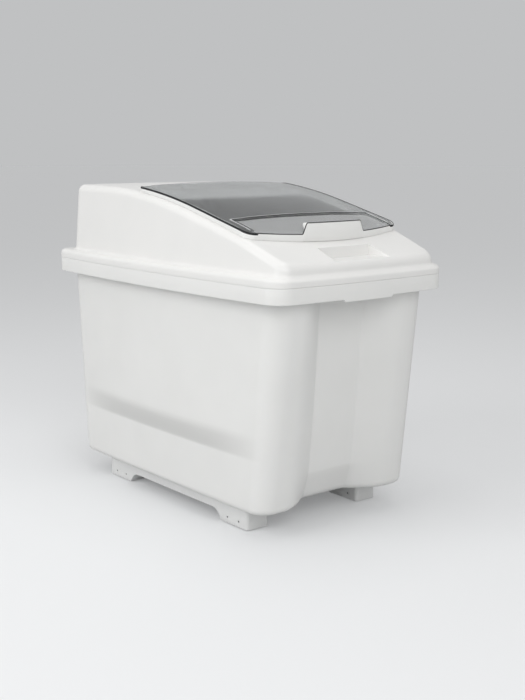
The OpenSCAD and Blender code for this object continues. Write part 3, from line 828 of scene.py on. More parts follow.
@dataclass
class Hood:
    """The opaque top: flange, leaning walls and curved slope, with the opening and the finger step."""

    tub: Tub
    low_z: float = 458.2
    flange_z: float = 475.0
    foot_z: float = 479.0
    top_z: float = 610.0
    wall: float = 4.0
    half: float = 186.0
    front: float = -362.0
    back: float = 341.0
    front_r: float = 25.0
    back_r: float = 39.0
    rib_half: float = 178.0
    rib_front: float = -346.5
    rib_back: float = 333.0
    rib_front_r: float = 46.0
    rib_back_r: float = 31.0
    rib_drop: float = 8.0
    seat_w: float = 6.0
    edge_r: float = 0.6
    lip_r: float = 1.6
    sweep_drop: float = 8.0
    ledge_r: float = 7.5
    fillet_r: float = 8.0
    shoulder_r: float = 16.0
    shoulder_share: float = 0.8
    lean: float = 8.0
    slope_start: float = 203.0
    slope_r: float = 1289.75
    slope_end: float = -109.317
    slope_end_z: float = 571.614
    slope_deg: float = 14.0137
    brow_y: float = -244.0
    brow_z: float = 538.0
    brow_deg: float = 20.0
    opening_half: float = 156.0
    opening_front: float = -236.0
    opening_back: float = -17.0
    opening_r: float = 20.0
    recess_half: float = 62.0
    recess_back: float = -309.0
    recess_splay: float = 5.0
    recess_run: float = 68.0
    recess_floor: float = 495.34
    recess_thin: float = 0.75
    draft: float = 1.2
    row_share: float = 0.12
    shrink_lag: float = 6.0

    def top(self, y: Any) -> np.ndarray:
        """The top's height along the bin.

        Args:
            y: Places along the bin.

        Returns:
            A height for each place.
        """
        y = np.asarray(y, float)
        fall = np.clip(self.slope_start - y, 0.0, self.slope_r * 0.99)
        curve = self.top_z - self.slope_r + np.sqrt(self.slope_r ** 2 - fall ** 2)
        straight = self.slope_end_z - math.tan(math.radians(self.slope_deg)) * (self.slope_end - y)
        front = self.brow_z - math.tan(math.radians(self.brow_deg)) * (self.brow_y - y)
        return np.where(y >= self.slope_start, self.top_z,
                        np.where(y >= self.slope_end, curve, np.where(y >= self.brow_y, straight, front)))

    def outline(self, inset: float) -> np.ndarray:
        """The wall's outline at its foot, set in by an amount."""
        half = self.half - inset
        return GRID.outline(half, half, self.front + inset, self.back - inset, self.front_r - inset,
                            self.back_r - inset, self.tub.side_bow, self.tub.end_bow, self.tub.end_bow)

    def rib(self, inset: float) -> np.ndarray:
        """The rib that drops into the tub's mouth.

        Args:
            inset: How far the outline is set in.

        Returns:
            Its outline seen from above.
        """
        half = self.rib_half - inset
        plan = GRID.outline(half, half, self.rib_front + inset, self.rib_back - inset,
                            self.rib_front_r - inset, self.rib_back_r - inset, self.tub.side_bow,
                            self.tub.end_bow, self.tub.end_bow)
        plan[GRID.front, 1] += self.tub.channel(plan[GRID.front, 0], self.tub.rim_z)
        return plan

    def shoulder(self, angle: float, skin: float) -> np.ndarray:
        """A ring of the rounded edge between wall and top.

        Args:
            angle: How far round the edge, from 0 at the wall to a quarter turn at the top.
            skin: How far the ring is set in from the outside.

        Returns:
            The ring's points.
        """
        foot = self.outline(0.0)
        inward = self.outline(1.0) - foot
        high = self.top(foot[:, 1])
        r = np.minimum(self.shoulder_r, self.shoulder_share * (high - self.foot_z))
        lean = self.lean * ramp(high - r, self.foot_z, self.top_z - self.shoulder_r)
        r = r - skin
        plan = foot + inward * (lean + skin + r * (1.0 - math.cos(angle)))[:, None]
        return at_height(plan, self.top(plan[:, 1]) - skin - r * (1.0 - math.sin(angle)))

    def front_share(self) -> np.ndarray:
        """How far each point belongs to the front, fading out round the front corners."""
        fade = smooth(np.linspace(1.0, 0.0, GRID.corner_steps + 1))
        count = len(self.outline(0.0))
        share = np.zeros(count)
        share[GRID.front] = 1.0
        share[GRID.front.stop:GRID.front.stop + len(fade)] = fade
        share[count - len(fade):] = fade[::-1]
        return share[:, None]

    def sweep(self, k: float) -> np.ndarray:
        """A ring of the soft sweep that takes the ledge's place at the front, a share of the way up."""
        plan = lerp(self.tub.rim(0.0), self.outline(0.0), smooth(k))
        return at_height(plan, lerp(self.flange_z - self.sweep_drop, self.foot_z, k))

    def stepped(self, ring: np.ndarray, skin: float) -> np.ndarray:
        """A ring with its front points dropped to the finger step's floor where they are over it.

        Args:
            ring: Points of the outer or the inner skin.
            skin: 0 for the outer skin, or the wall's thickness for the inner one.

        Returns:
            The ring with the step pressed in.
        """
        ring = ring.copy()
        part = ring[GRID.front]
        thin = self.recess_thin * skin
        back, floor = self.recess_back + thin, self.recess_floor - thin
        run = np.clip(self.recess_back - part[:, 1], 0.0, None)
        splay = self.recess_splay * run / self.recess_run
        half = self.recess_half + thin + splay
        reach = np.abs(part[:, 0])
        beyond = (FRONT_REACH - reach) / (FRONT_REACH - self.recess_half)
        spread = np.where(reach < self.recess_half, reach / self.recess_half, np.clip(beyond, 0.0, 1.0))
        part[:, 0] += np.sign(part[:, 0]) * spread * splay
        inside = np.minimum(half - np.abs(part[:, 0]), back - part[:, 1])
        sunk = np.minimum(part[:, 2], floor)
        part[:, 2] = lerp(part[:, 2], sunk, ramp(inside, 0.0, self.draft))
        ring[GRID.front] = part
        return ring

    def top_rows(self) -> np.ndarray:
        """Places along the bin of the rows over the front slope, close together at the step's back."""
        return np.concatenate([
            np.linspace(-339.0, -313.0, 7),
            self.recess_back + np.array([-2.2, -1.6, -1.2, -0.8, -0.4, 0.0, 0.6, 1.8, 4.0]),
            np.linspace(-301.0, -250.0, 10),
            self.brow_y + np.array([-2.0, 0.0, 2.0, 5.0, 7.0])])

    def top_ring(self, y: float, skin: float) -> np.ndarray:
        """A ring of the top between the shoulder and the opening.

        Args:
            y: Where the ring crosses the middle of the front.
            skin: How far it is set in from the outside.

        Returns:
            The ring's points.
        """
        edge = self.shoulder(math.pi / 2.0, 0.0)[:, :2]
        hole = GRID.outline(self.opening_half, self.opening_half, self.opening_front, self.opening_back,
                            self.opening_r, self.opening_r)
        nose = edge[GRID.front, 1].min()
        share = (y - nose) / (self.opening_front - nose)
        plan = lerp(edge, hole, share)
        plan[GRID.front, 1] = lerp(edge[GRID.front, 1], y, ramp(share, 0.0, self.row_share))
        shrink = smooth(ramp(y, self.recess_back + self.shrink_lag, self.opening_front))
        plan[GRID.front, 0] = lerp(edge[GRID.front, 0], hole[GRID.front, 0], shrink)
        return at_height(plan, self.top(plan[:, 1]) - skin)

    def rings(self) -> list[np.ndarray]:
        """All the rings, from the flange over the top to the opening and back along the inside."""
        rim, low, wall = self.tub.rim, self.low_z, self.wall
        rings = [at_height(rim(self.seat_w), low)]
        rings += [at_height(rim(s), low + c) for c, s in bend(self.edge_r, 3)]
        ledge = [at_height(rim(c), self.flange_z - s) for c, s in bend(self.ledge_r, 7)]
        ledge += [at_height(self.outline(-s), self.flange_z + c) for c, s in bend(self.fillet_r, 7)]
        share, last = self.front_share(), len(ledge) - 1.0
        rings += [lerp(ring, self.sweep(i / last), share) for i, ring in enumerate(ledge)]
        foot, start = rings[-1], self.shoulder(0.0, 0.0)
        rings += [lerp(foot, start, k) for k in (0.2, 0.4, 0.6, 0.8)]
        rings += [self.stepped(self.shoulder(a, 0.0), 0.0) for a in quarter(12)]
        rows = self.top_rows()
        rings += [self.stepped(self.top_ring(y, 0.0), 0.0) for y in rows]
        for c, s in bend(self.lip_r, 4):
            ring = self.top_ring(self.opening_front - s, 0.0)
            ring[:, 2] -= c
            rings.append(ring)
        rings.append(self.top_ring(self.opening_front, wall))
        rings += [self.stepped(self.top_ring(y, wall), wall) for y in rows[::-1]]
        rings += [self.stepped(self.shoulder(a, wall), wall) for a in quarter(6)[::-1]]
        rings.append(at_height(self.outline(wall), low + wall))
        tip = self.tub.rim_z - self.rib_drop
        # The rib's section, each point with its inset and its height
        section = ((3.0, low + wall), (3.0, tip + 1.0), (2.0, tip), (1.0, tip), (0.0, tip + 1.0), (0.0, low))
        rings += [at_height(self.rib(inset), z) for inset, z in section]
        rings += [at_height(self.outline(0.0), z) for z in (low, self.flange_z - wall)]
        rings.append(at_height(rim(self.seat_w), self.flange_z - wall))
        return rings

    def build(self) -> bpy.types.Object:
        """Builds and dresses the hood."""
        mesh = skin_mesh("hood_shell", self.rings(), along=True)
        return dress(new_object("hood_shell", mesh), HOOD_WHITE.build(), Body.HOOD.value,
                     ["hood"])


@dataclass
class Lid:
    """The lid: a smoked dome with a sunken panel behind its handle, in a white frame with lines of painted
    shade along its bends.
    """

    hood: Hood
    front_half: float = 181.0
    back_half: float = 181.0
    front: float = -266.0
    back: float = 69.0
    front_r: float = 22.0
    back_r: float = 5.0
    front_bow: float = 22.0
    crown_z: float = 618.2
    crown_r: float = 1423.89
    gap: float = 0.5
    sheet: float = 2.6
    rim_w: float = 18.0
    step_y: float = -196.0
    step_bow: float = 2.0
    riser: float = 6.0
    panel_sink: float = 2.0
    side_rise_front: float = 10.4
    side_rise_back: float = 8.6
    front_rise_mid: float = 13.2
    front_rise_end: float = 10.6
    dome_power: float = 2.4
    sheet_clear: float = 0.4
    # How far a face must be sunk to take the panel's sheet, whose lighter colour is painted light
    satin_share: float = 0.9
    skirt_t: float = 2.4
    skirt_flat: float = 1.2
    seat_reach: float = 300.0
    handle_foot: float = 73.5
    handle_top: float = 62.5
    handle_top_z: float = 556.5
    handle_t: float = 4.0
    handle_lip: float = 12.0
    handle_lip_share: float = 0.55
    handle_flat: float = 3.6
    # How far the lines of painted shade along the bends lie inside the skirt's edge and below its top
    front_bend: tuple[float, float] = (0.9, 0.1)
    side_bend: tuple[float, float] = (0.5, 1.2)
    line_front: float = -252.0
    line_corner: float = 3.0
    hinge_y: float = 81.0
    hinge_z: float = 609.217
    ear_x: float = 81.0
    ear_r: float = 4.5
    ear_w: float = 9.0
    ear_root: float = 8.0

    def edge(self, inset: float = 0.0) -> np.ndarray:
        """The lid's edge seen from above."""
        return GRID.outline(self.front_half - inset, self.back_half - inset, self.front + inset,
                            self.back - inset, self.front_r - inset, self.back_r - inset,
                            front_bow=self.front_bow)

    def foot(self, y: Any) -> np.ndarray:
        """Height of the lid's foot above the hood."""
        return self.hood.top(y) + self.gap

    def half(self, y: Any) -> np.ndarray:
        """Half width of the lid along the bin."""
        return lerp(self.front_half, self.back_half,
                    ramp(y, self.front + self.front_r, self.back - self.back_r))

    def nose(self, x: Any) -> np.ndarray:
        """The front edge's place across the lid."""
        share = np.clip(bow(np.asarray(x) / (self.front_half - self.front_r)), 0.0, 1.0)
        return self.front - self.front_bow * share

    def step(self, x: Any) -> np.ndarray:
        """Place of the step behind the sunken panel, across the lid."""
        return self.step_y - self.step_bow * np.clip(bow(x / (self.front_half - self.rim_w)), 0.0, 1.0)

    def skirt_rise(self, y: Any) -> np.ndarray:
        """Height of the side skirt along the bin."""
        along = ramp(y, self.front + self.front_r, self.back)
        return lerp(self.side_rise_front, self.side_rise_back, along)

    def panel_rise(self, x: Any) -> np.ndarray:
        """Height of the front skirt across the lid."""
        across = np.clip(np.abs(x) / self.front_half, 0.0, 1.0)
        return lerp(self.front_rise_mid, self.front_rise_end, across ** 2)

    def dome(self, x: Any, y: Any) -> np.ndarray:
        """The dome's outer surface.

        Args:
            x: Places across the lid.
            y: Places along it.

        Returns:
            Heights of the surface.
        """
        foot = self.foot(y)
        start, r = self.hood.slope_start, self.crown_r
        rear = math.sqrt(r ** 2 - (start - self.back) ** 2)
        crown = self.crown_z - rear + np.sqrt(r ** 2 - (start - y) ** 2)
        rise = self.skirt_rise(y)
        across = np.clip(np.abs(x) / self.half(y), 0.0, 1.0)
        return foot + rise + (crown - foot - rise) * (1.0 - across ** self.dome_power)

    def columns(self, y: np.ndarray) -> np.ndarray:
        """Places across the lid, close together along the rims.

        Args:
            y: The rows' places along the lid.

        Returns:
            Places across the lid, row by row.
        """
        inset = np.concatenate([[0.3, 1.0, 2.0, 3.6, 5.6, 8.0, 11.0, 14.0],
                                self.rim_w + np.array([-1.0, 0.0, 0.8, 1.6, 2.4, 3.2, 4.0, 5.0, 8.0])])
        half = self.half(y)[:, None]
        inner = np.linspace(-1.0, 1.0, 41)[None, 1:-1] * (half - inset[-1])
        return np.concatenate([-(half - inset), inner, (half - inset)[:, ::-1]], 1)

    def rows(self) -> tuple[np.ndarray, np.ndarray]:
        """The dome's places across and along, row by row from the front."""
        ahead = np.array([0.004, 0.012, 0.03, 0.07, 0.13, 0.22, 0.34, 0.48, 0.62, 0.75, 0.86, 0.94])
        rise = self.riser * np.linspace(-1.2, -0.1, 9)
        behind = np.concatenate([[0.0, 0.004, 0.012], np.linspace(0.03, 0.985, 44), [0.993, 0.998]])
        xs = self.columns(np.zeros(len(ahead) + len(rise) + len(behind)))
        step, nose = self.step(xs[0]), self.nose(xs[0])
        ys = np.concatenate([lerp(nose, step + rise[0], ahead[:, None]), step + rise[:, None],
                             lerp(step, self.back, behind[:, None])])
        return xs, ys

    def round_corners(self, xs: np.ndarray, ys: np.ndarray) -> None:
        """Draws the plan's square corners in to their radii, in place.

        Args:
            xs: Places across the lid.
            ys: Places along it.
        """
        ends = ((self.front_r, self.nose(xs), 1.0), (self.back_r, np.full_like(xs, self.back), -1.0))
        for r, base, way in ends:
            a = 1.0 - (self.half(ys) - np.abs(xs)) / r
            b = 1.0 - way * (ys - base) / r
            corner = (a > 0.0) & (b > 0.0)
            a_in = a * np.sqrt(np.clip(1.0 - b * b / 2.0, 0.0, 1.0))
            b_in = b * np.sqrt(np.clip(1.0 - a * a / 2.0, 0.0, 1.0))
            new_x = np.sign(xs) * (self.half(ys) - (1.0 - a_in) * r)
            new_y = base + way * (1.0 - b_in) * r
            xs[corner], ys[corner] = new_x[corner], new_y[corner]

    def sunk_share(self, xs: np.ndarray, ys: np.ndarray) -> np.ndarray:
        """How far each place is down in the sunken panel, from 0 on the rims to 1 on its floor."""
        inside = np.minimum(self.half(ys) - np.abs(xs) - self.rim_w, self.step(xs) - ys)
        return smooth(ramp(inside, 0.0, self.riser))

    def sunken(self, xs: np.ndarray, ys: np.ndarray) -> np.ndarray:
        """Heights of the dome with the front panel sunk between its rims.

        Args:
            xs: Places across the lid.
            ys: Places along it.

        Returns:
            Heights of the outer surface.
        """
        z = self.dome(xs, ys)
        nose = self.nose(xs)
        t = np.clip((ys - nose) / (self.step(xs) - nose), 0.0, 1.0)
        low = self.foot(nose) + self.panel_rise(xs)
        front_z = self.dome(xs, nose)
        panel = z - lerp(np.maximum(front_z - low, self.panel_sink), self.panel_sink, t)
        return lerp(z, panel, self.sunk_share(xs, ys))

    def dome_mesh(self) -> bpy.types.Mesh:
        """The dome's sheet, with its thickness."""
        xs, ys = self.rows()
        zs, sunk = self.sunken(xs, ys), self.sunk_share(xs, ys)
        self.round_corners(xs, ys)
        outer = np.stack([xs, ys, zs], 2)
        down, right = np.gradient(outer, axis=0), np.gradient(outer, axis=1)
        normal = np.cross(right, down)
        normal /= np.linalg.norm(normal, axis=2, keepdims=True)
        inner = outer - normal * self.sheet
        inner[..., 2] = np.maximum(inner[..., 2], self.foot(inner[..., 1]) + self.sheet_clear)
        count, width = xs.shape
        loop = [(0, i) for i in range(width)] + [(j, width - 1) for j in range(1, count)]
        loop += [(count - 1, i) for i in range(width - 2, -1, -1)]
        loop += [(j, 0) for j in range(count - 2, 0, -1)]
        top, low = np.arange(2 * count * width).reshape(2, count, width).tolist()
        faces: list[tuple[int, ...]] = []
        for j in range(count - 1):
            for i in range(width - 1):
                faces.append((top[j][i], top[j][i + 1], top[j + 1][i + 1], top[j + 1][i]))
                faces.append((low[j][i], low[j + 1][i], low[j + 1][i + 1], low[j][i + 1]))
        for (j, i), (n, m) in zip(loop, loop[1:] + loop[:1]):
            faces.append((top[n][m], top[j][i], low[j][i], low[n][m]))
        mesh = bpy.data.meshes.new("lid_dome")
        points = np.concatenate([outer.reshape(-1, 3), inner.reshape(-1, 3)]) * MM
        mesh.from_pydata(points.tolist(), [], faces)
        mesh.validate()
        # Faces on the panel's floor take the second sheet, whose lighter colour is painted light
        share = np.concatenate([sunk.ravel(), sunk.ravel()])
        for face in mesh.polygons:
            face.material_index = int(share[list(face.vertices)].min() > self.satin_share)
        return mesh

    def skirt_top(self, plan: np.ndarray) -> tuple[np.ndarray, np.ndarray]:
        """The skirt's top round the edge.

        Args:
            plan: Points of the edge, seen from above.

        Returns:
            The top's height at each point, and how far the point belongs to the handle.
        """
        x, y = plan[:, 0], plan[:, 1]
        z = self.foot(y) + self.skirt_rise(y)
        ahead = ramp(-y, -self.front - self.front_r, -self.front)
        z = lerp(z, self.foot(y) + self.panel_rise(x), ahead)
        grip = np.zeros(len(plan))
        grip[GRID.front] = 1.0 - smooth(ramp(np.abs(x[GRID.front]), self.handle_top, self.handle_foot))
        return lerp(z, self.handle_top_z, grip), grip

    def seat_drop(self, plan: np.ndarray) -> np.ndarray:
        """How far the hood's shoulder has fallen away below the lid's edge.

        Args:
            plan: Points of the lid's edge, seen from above.

        Returns:
            A drop for each point.
        """
        side = self.hood.shoulder(math.pi / 2.0, 0.0)
        side = side[(side[:, 0] > 0.0) & (np.abs(side[:, 1]) < self.seat_reach)]
        side = side[np.argsort(side[:, 1])]
        r = self.hood.shoulder_r
        over = np.clip(np.abs(plan[:, 0]) - np.interp(plan[:, 1], side[:, 1], side[:, 0]), 0.0, r)
        return r - np.sqrt(r * r - over * over)

    def skirt_mesh(self) -> bpy.types.Mesh:
        """The white skirt round the lid, which rises into the handle at the front."""
        plan = self.edge()
        inward = self.edge(1.0) - plan
        top, grip = self.skirt_top(plan)
        foot = self.foot(plan[:, 1]) - self.seat_drop(plan) + np.where(grip > 0.0, 0.6, 0.0)
        thick = lerp(self.skirt_t, self.handle_t, grip)
        lip = lerp(thick, self.handle_lip, smooth(ramp(grip, self.handle_lip_share, 1.0)))
        flat = lerp(self.skirt_flat, self.handle_flat, grip)
        # The section's points, each with its inset from the edge and its height
        section = [(0.5, foot), (0.0, foot + 0.6), (0.0, top - 1.0), (0.3, top - 0.3), (1.0, top),
                   (lip - 0.6, top), (lip, top - 0.6), (lip, top - flat + 0.4), (lip - 0.4, top - flat),
                   (thick, np.maximum(top - flat - 0.2, foot + 0.4)), (thick, foot)]
        rows = []
        for inset, z in section:
            ring = plan + inward * np.broadcast_to(np.asarray(inset, float), len(plan))[:, None]
            rows.append(at_height(ring, z))
        return skin_mesh("lid_skirt", rows, along=True)

    def path(self, name: str, points: np.ndarray, closed: bool) -> bpy.types.Mesh:
        """A path as a mesh of edges.

        Args:
            name: The mesh's name.
            points: The path's points, in millimetres.
            closed: Whether its end joins its start.

        Returns:
            The mesh, in metres.
        """
        count = len(points)
        edges = [(i, (i + 1) % count) for i in range(count if closed else count - 1)]
        mesh = bpy.data.meshes.new(name)
        mesh.from_pydata((points * MM).tolist(), edges, [])
        return mesh

    def edge_path(self, front: bool) -> bpy.types.Mesh:
        """The path of a line of painted shade along the skirt's top bend.

        Args:
            front: Whether it goes over the handle, and not round the sides and the back.

        Returns:
            The path's mesh.
        """
        top, _ = self.skirt_top(self.edge())
        inset, drop = self.front_bend if front else self.side_bend
        ring = at_height(self.edge(inset), top - drop)
        end = GRID.front.stop
        part = np.concatenate([ring[-1:], ring[:end + 1]]) if front else ring[end:]
        return self.path("lid_edge_path", part, closed=False)

    def step_path(self, ahead: float, lift: float) -> bpy.types.Mesh:
        """A path along the sunken panel's side and back steps.

        Args:
            ahead: How far inside the top of the step it runs.
            lift: Its height over the sheet.

        Returns:
            The path's mesh.
        """
        inset = self.rim_w + ahead
        ys = np.linspace(self.line_front, self.step_y - ahead - self.line_corner, 24)
        right = np.stack([self.half(ys) - inset, ys], 1)
        xs = np.linspace(right[-1, 0] - self.line_corner, self.line_corner - right[-1, 0], 60)
        plan = np.concatenate([right, np.stack([xs, self.step(xs) - ahead], 1), right[::-1] * (-1.0, 1.0)])
        z = self.sunken(plan[:, 0], plan[:, 1])
        return self.path("lid_step_path", at_height(plan, z + lift), closed=False)

    def ear_mesh(self) -> bpy.types.Mesh:
        """The two ears at the back, which turn on the hinge pins."""
        a = np.radians(np.linspace(-95.0, 100.0, 22))
        y, z, r = self.hinge_y, self.hinge_z, self.ear_r
        root = self.back - self.ear_root
        eye = np.stack([y + r * np.cos(a), z + r * np.sin(a)], 1)
        shape = np.concatenate([[(root, z - 3.4), (y - 8.0, z - 3.6)], eye,
                                [(y - 7.0, z + 2.4), (y - 14.0, z + 0.8), (root, z + 0.4)]])
        meshes = [slab("ear", shape, side.value * self.ear_x, self.ear_w) for side in Side]
        return join("lid_ears", meshes)

    def build(self, bead: BeadTool) -> None:
        """Builds and dresses the lid's pieces.

        Args:
            bead: The tool that sweeps the lines of painted shade and the step's painted highlight.
        """
        # The light milky step finish is a painted highlight; the very dark edge finish is painted shade
        frame_white, painted_light, edge = LID_WHITE.build(), LID_STEP_HIGHLIGHT.build(), LID_EDGE_SHADE.build()
        dome = self.dome_mesh()
        for sheet in (LID_SMOKE, LID_PANEL):
            dome.materials.append(sheet.build())
        dress(new_object("lid_dome", dome), None, Body.LID.value, ["lid"])
        dress(new_object("lid_skirt", self.skirt_mesh()), frame_white, Body.LID.value,
              sharp_deg=40.0)
        # Each bead's name, path, width, height and finish: the very dark beads are painted shade along the
        # bends and the step's foot, the light milky one a painted highlight along the step's top
        beads = (("lid_front_bend", self.edge_path(front=True), 1.8, 2.2, edge),
                 ("lid_side_bend", self.edge_path(front=False), 2.0, 4.0, edge),
                 ("lid_step_line", self.step_path(self.riser + 0.3, 0.1), 0.7, 0.9, edge),
                 ("lid_step_edge", self.step_path(-2.4, 0.1), 4.2, 0.7, painted_light))
        for name, path, width, height, finish in beads:
            sizes = {"Width": width * MM, "Height": height * MM, "Sides": 12}
            line = bead.run(name, path, {**sizes, "Material": finish})
            dress(line, None, Body.LID.value, sharp_deg=60.0)
        dress(new_object("lid_ears", self.ear_mesh()), frame_white, Body.LID.value)


def slab(name: str, shape: np.ndarray, x: float, width: float, round_mm: float = 0.6) -> bpy.types.Mesh:
    """An upright slab with rounded edges, given by its side view.

    Args:
        name: The mesh's name.
        shape: Points of the side view, along and up, anticlockwise seen from the right.
        x: The slab's middle across the bin.
        width: Its width.
        round_mm: Radius of its edges.

    Returns:
        The mesh.
    """
    centre = (shape.min(0) + shape.max(0)) / 2.0
    size = (shape.max(0) - shape.min(0)) / 2.0
    rows = []
    for a in np.concatenate([-quarter(3)[::-1], quarter(3)]):
        shrink = 1.0 - round_mm * (1.0 - math.cos(a)) / size
        side = math.copysign(1.0, a) if a else (-1.0 if len(rows) < 4 else 1.0)
        place = x + side * (width / 2.0 - round_mm) + round_mm * math.sin(a)
        plan = centre + (shape - centre) * shrink
        rows.append(np.column_stack([np.full(len(shape), place), plan]))
    return skin_mesh(name, rows, cap_first=True, cap_last=True)


def join(name: str, meshes: Sequence[bpy.types.Mesh]) -> bpy.types.Mesh:
    """Joins meshes into one, with its faces pointing outwards.

    Args:
        name: The new mesh's name.
        meshes: The meshes, which are used up.

    Returns:
        The joined mesh.
    """
    whole = bmesh.new()
    for mesh in meshes:
        whole.from_mesh(mesh)
        bpy.data.meshes.remove(mesh)
    bmesh.ops.recalc_face_normals(whole, faces=whole.faces)
    joined = bpy.data.meshes.new(name)
    whole.to_mesh(joined)
    whole.free()
    return joined


@dataclass
class Hinge:
    """The lid's hinge: lugs on the hood and steel pins through the lid's ears."""

    lid: Lid
    lug_w: float = 5.0
    lug_sink: float = 1.0
    play: float = 0.5
    pin_r: float = 1.5

    def build(self, row: RowTool) -> None:
        """Builds and dresses the lugs and the pins.

        Args:
            row: The tool that repeats the pin.
        """
        y, z, r, ear = self.lid.hinge_y, self.lid.hinge_z, self.lid.ear_r, self.lid.ear_w / 2.0
        a = np.radians(np.linspace(0.0, 180.0, 22))
        base = float(self.lid.hood.top(y)) - self.lug_sink
        eye = np.stack([y + r * np.cos(a), z + r * np.sin(a)], 1)
        shape = np.concatenate([[(y - r, base), (y + r, base)], eye])
        step = ear + self.play + self.lug_w / 2.0
        lugs = [slab("lug", shape, side.value * self.lid.ear_x + t * step, self.lug_w)
                for side in Side for t in (-1.0, 1.0)]
        dress(new_object("hinge_lugs", join("hinge_lugs", lugs)), HOOD_WHITE.build(), Body.HOOD.value)
        end = ear + self.play + self.lug_w
        # Half the pin, from its end to its shank: radius, and distance from the end
        half = ((0.0, 0.0), (0.9, 0.1), (1.4, 0.4), (self.pin_r, 0.8))
        profile = [(r, p - end) for r, p in half] + [(r, end - p) for r, p in half[::-1]]
        pin = turned_mesh("pin", profile, 32, Axis.X)
        steel = PIN_STEEL.build()
        pins = row.place("hinge_pins", pin, [(side.value * self.lid.ear_x, y, z) for side in Side], steel)
        dress(pins, None, Body.HOOD.value, ["hinge_pin_left", "hinge_pin_right"])


@dataclass
class Chassis:
    """The base rails with their axles, rollers and screws."""

    rail_x: float = 136.0
    axle_z: float = 12.5
    axle_ys: tuple[float, ...] = (-210.5, -176.0, 176.0, 210.5)
    screw_ys: tuple[float, ...] = (-105.0, -35.0, 35.0, 105.0)
    edge_mm: float = 0.8
    edge_steps: int = 3
    edge_deg: float = 35.0
    flat_deg: float = 1.0
    merge_mm: float = 0.01

    def rail(self, side: Side, finish: bpy.types.Material) -> bpy.types.Object:
        """A rail: the CAD node's own form with its edges rounded.

        Args:
            side: The side it is on.
            finish: Its material.

        Returns:
            The dressed rail.
        """
        node = "rail_" + side.word
        shape = bmesh.new()
        shape.from_mesh(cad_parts[node].data)
        bmesh.ops.remove_doubles(shape, verts=shape.verts, dist=self.merge_mm * MM)
        bmesh.ops.dissolve_limit(shape, angle_limit=math.radians(self.flat_deg), verts=shape.verts,
                                 edges=shape.edges)
        mesh = bpy.data.meshes.new(node + "_moulding")
        shape.to_mesh(mesh)
        shape.free()
        rail = new_object(node + "_moulding", mesh)
        edge = rail.modifiers.new("rounded edges", "BEVEL")
        edge.width, edge.segments, edge.limit_method = self.edge_mm * MM, self.edge_steps, "ANGLE"
        edge.angle_limit = math.radians(self.edge_deg)
        rail.data = settled(rail)
        rail.modifiers.clear()
        return dress(rail, finish, Body.BIN.value, [node])

    def roller_mesh(self) -> bpy.types.Mesh:
        """A roller about the origin: a plain tread with a dished face and a hub at each end."""
        # Half the roller, from its bore to its tread: radius, and distance from the middle
        half = [(2.1, 19.0), (5.2, 19.0), (5.8, 18.7), (6.2, 17.2), (9.4, 17.2), (9.8, 18.7), (10.4, 19.0),
                (11.1, 19.0), (12.0, 18.6), (12.4, 18.0), (12.5, 17.4)]
        return turned_mesh("roller", half + [(r, -p) for r, p in half[::-1]], 56, Axis.X)

    def axle_mesh(self) -> bpy.types.Mesh:
        """An axle pin about the origin, with a dimple in each end."""
        half = [(0.0, 23.4), (0.9, 23.5), (1.0, 24.0), (1.6, 24.0), (2.0, 23.6)]
        return turned_mesh("axle", [(r, -p) for r, p in half] + half[::-1], 32, Axis.X)

    def screw_mesh(self) -> bpy.types.Mesh:
        """A rail screw at its height, with its socket head down."""
        head = [(0.0, 38.6), (1.6, 38.6), (1.8, 37.2), (2.6, 37.0), (3.4, 37.3), (3.9, 38.2), (4.0, 39.2),
                (4.0, 40.0)]
        shank = [(2.0, 40.0), (2.0, 48.2), (1.2, 49.0), (0.0, 49.0)]
        return turned_mesh("screw", head + shank, 32, Axis.Z)

    def build(self, row: RowTool) -> None:
        """Builds and dresses the rails, rollers, axles and screws.

        Args:
            row: The tool that repeats the turned parts.
        """
        rail, nylon = RAIL_WHITE.build(), ROLLER_GREY.build()
        steel, black = PIN_STEEL.build(), AXLE_STEEL.build()
        for side in Side:
            self.rail(side, rail)
            for i, y in enumerate(self.axle_ys, start=1):
                body = f"roller_{side.word}_{i}"
                place = [(side.value * self.rail_x, y, self.axle_z)]
                roller = row.place(body + "_tread", self.roller_mesh(), place, nylon)
                dress(roller, None, body, [body])
        places = [(side.value * self.rail_x, y, self.axle_z) for side in Side for y in self.axle_ys]
        nodes = [f"axle_pin_{side.word}_{i}" for side in Side for i in range(1, 5)]
        # The axles' very dark steel is painted shade, for the dots that the shaded holes show
        axles = row.place("axle_pins", self.axle_mesh(), places, black)
        dress(axles, None, Body.BIN.value, nodes)
        places = [(side.value * self.rail_x, y, 0.0) for side in Side for y in self.screw_ys]
        screws = row.place("rail_screws", self.screw_mesh(), places, steel)
        dress(screws, None, Body.BIN.value, ["rail_screws_left", "rail_screws_right"])


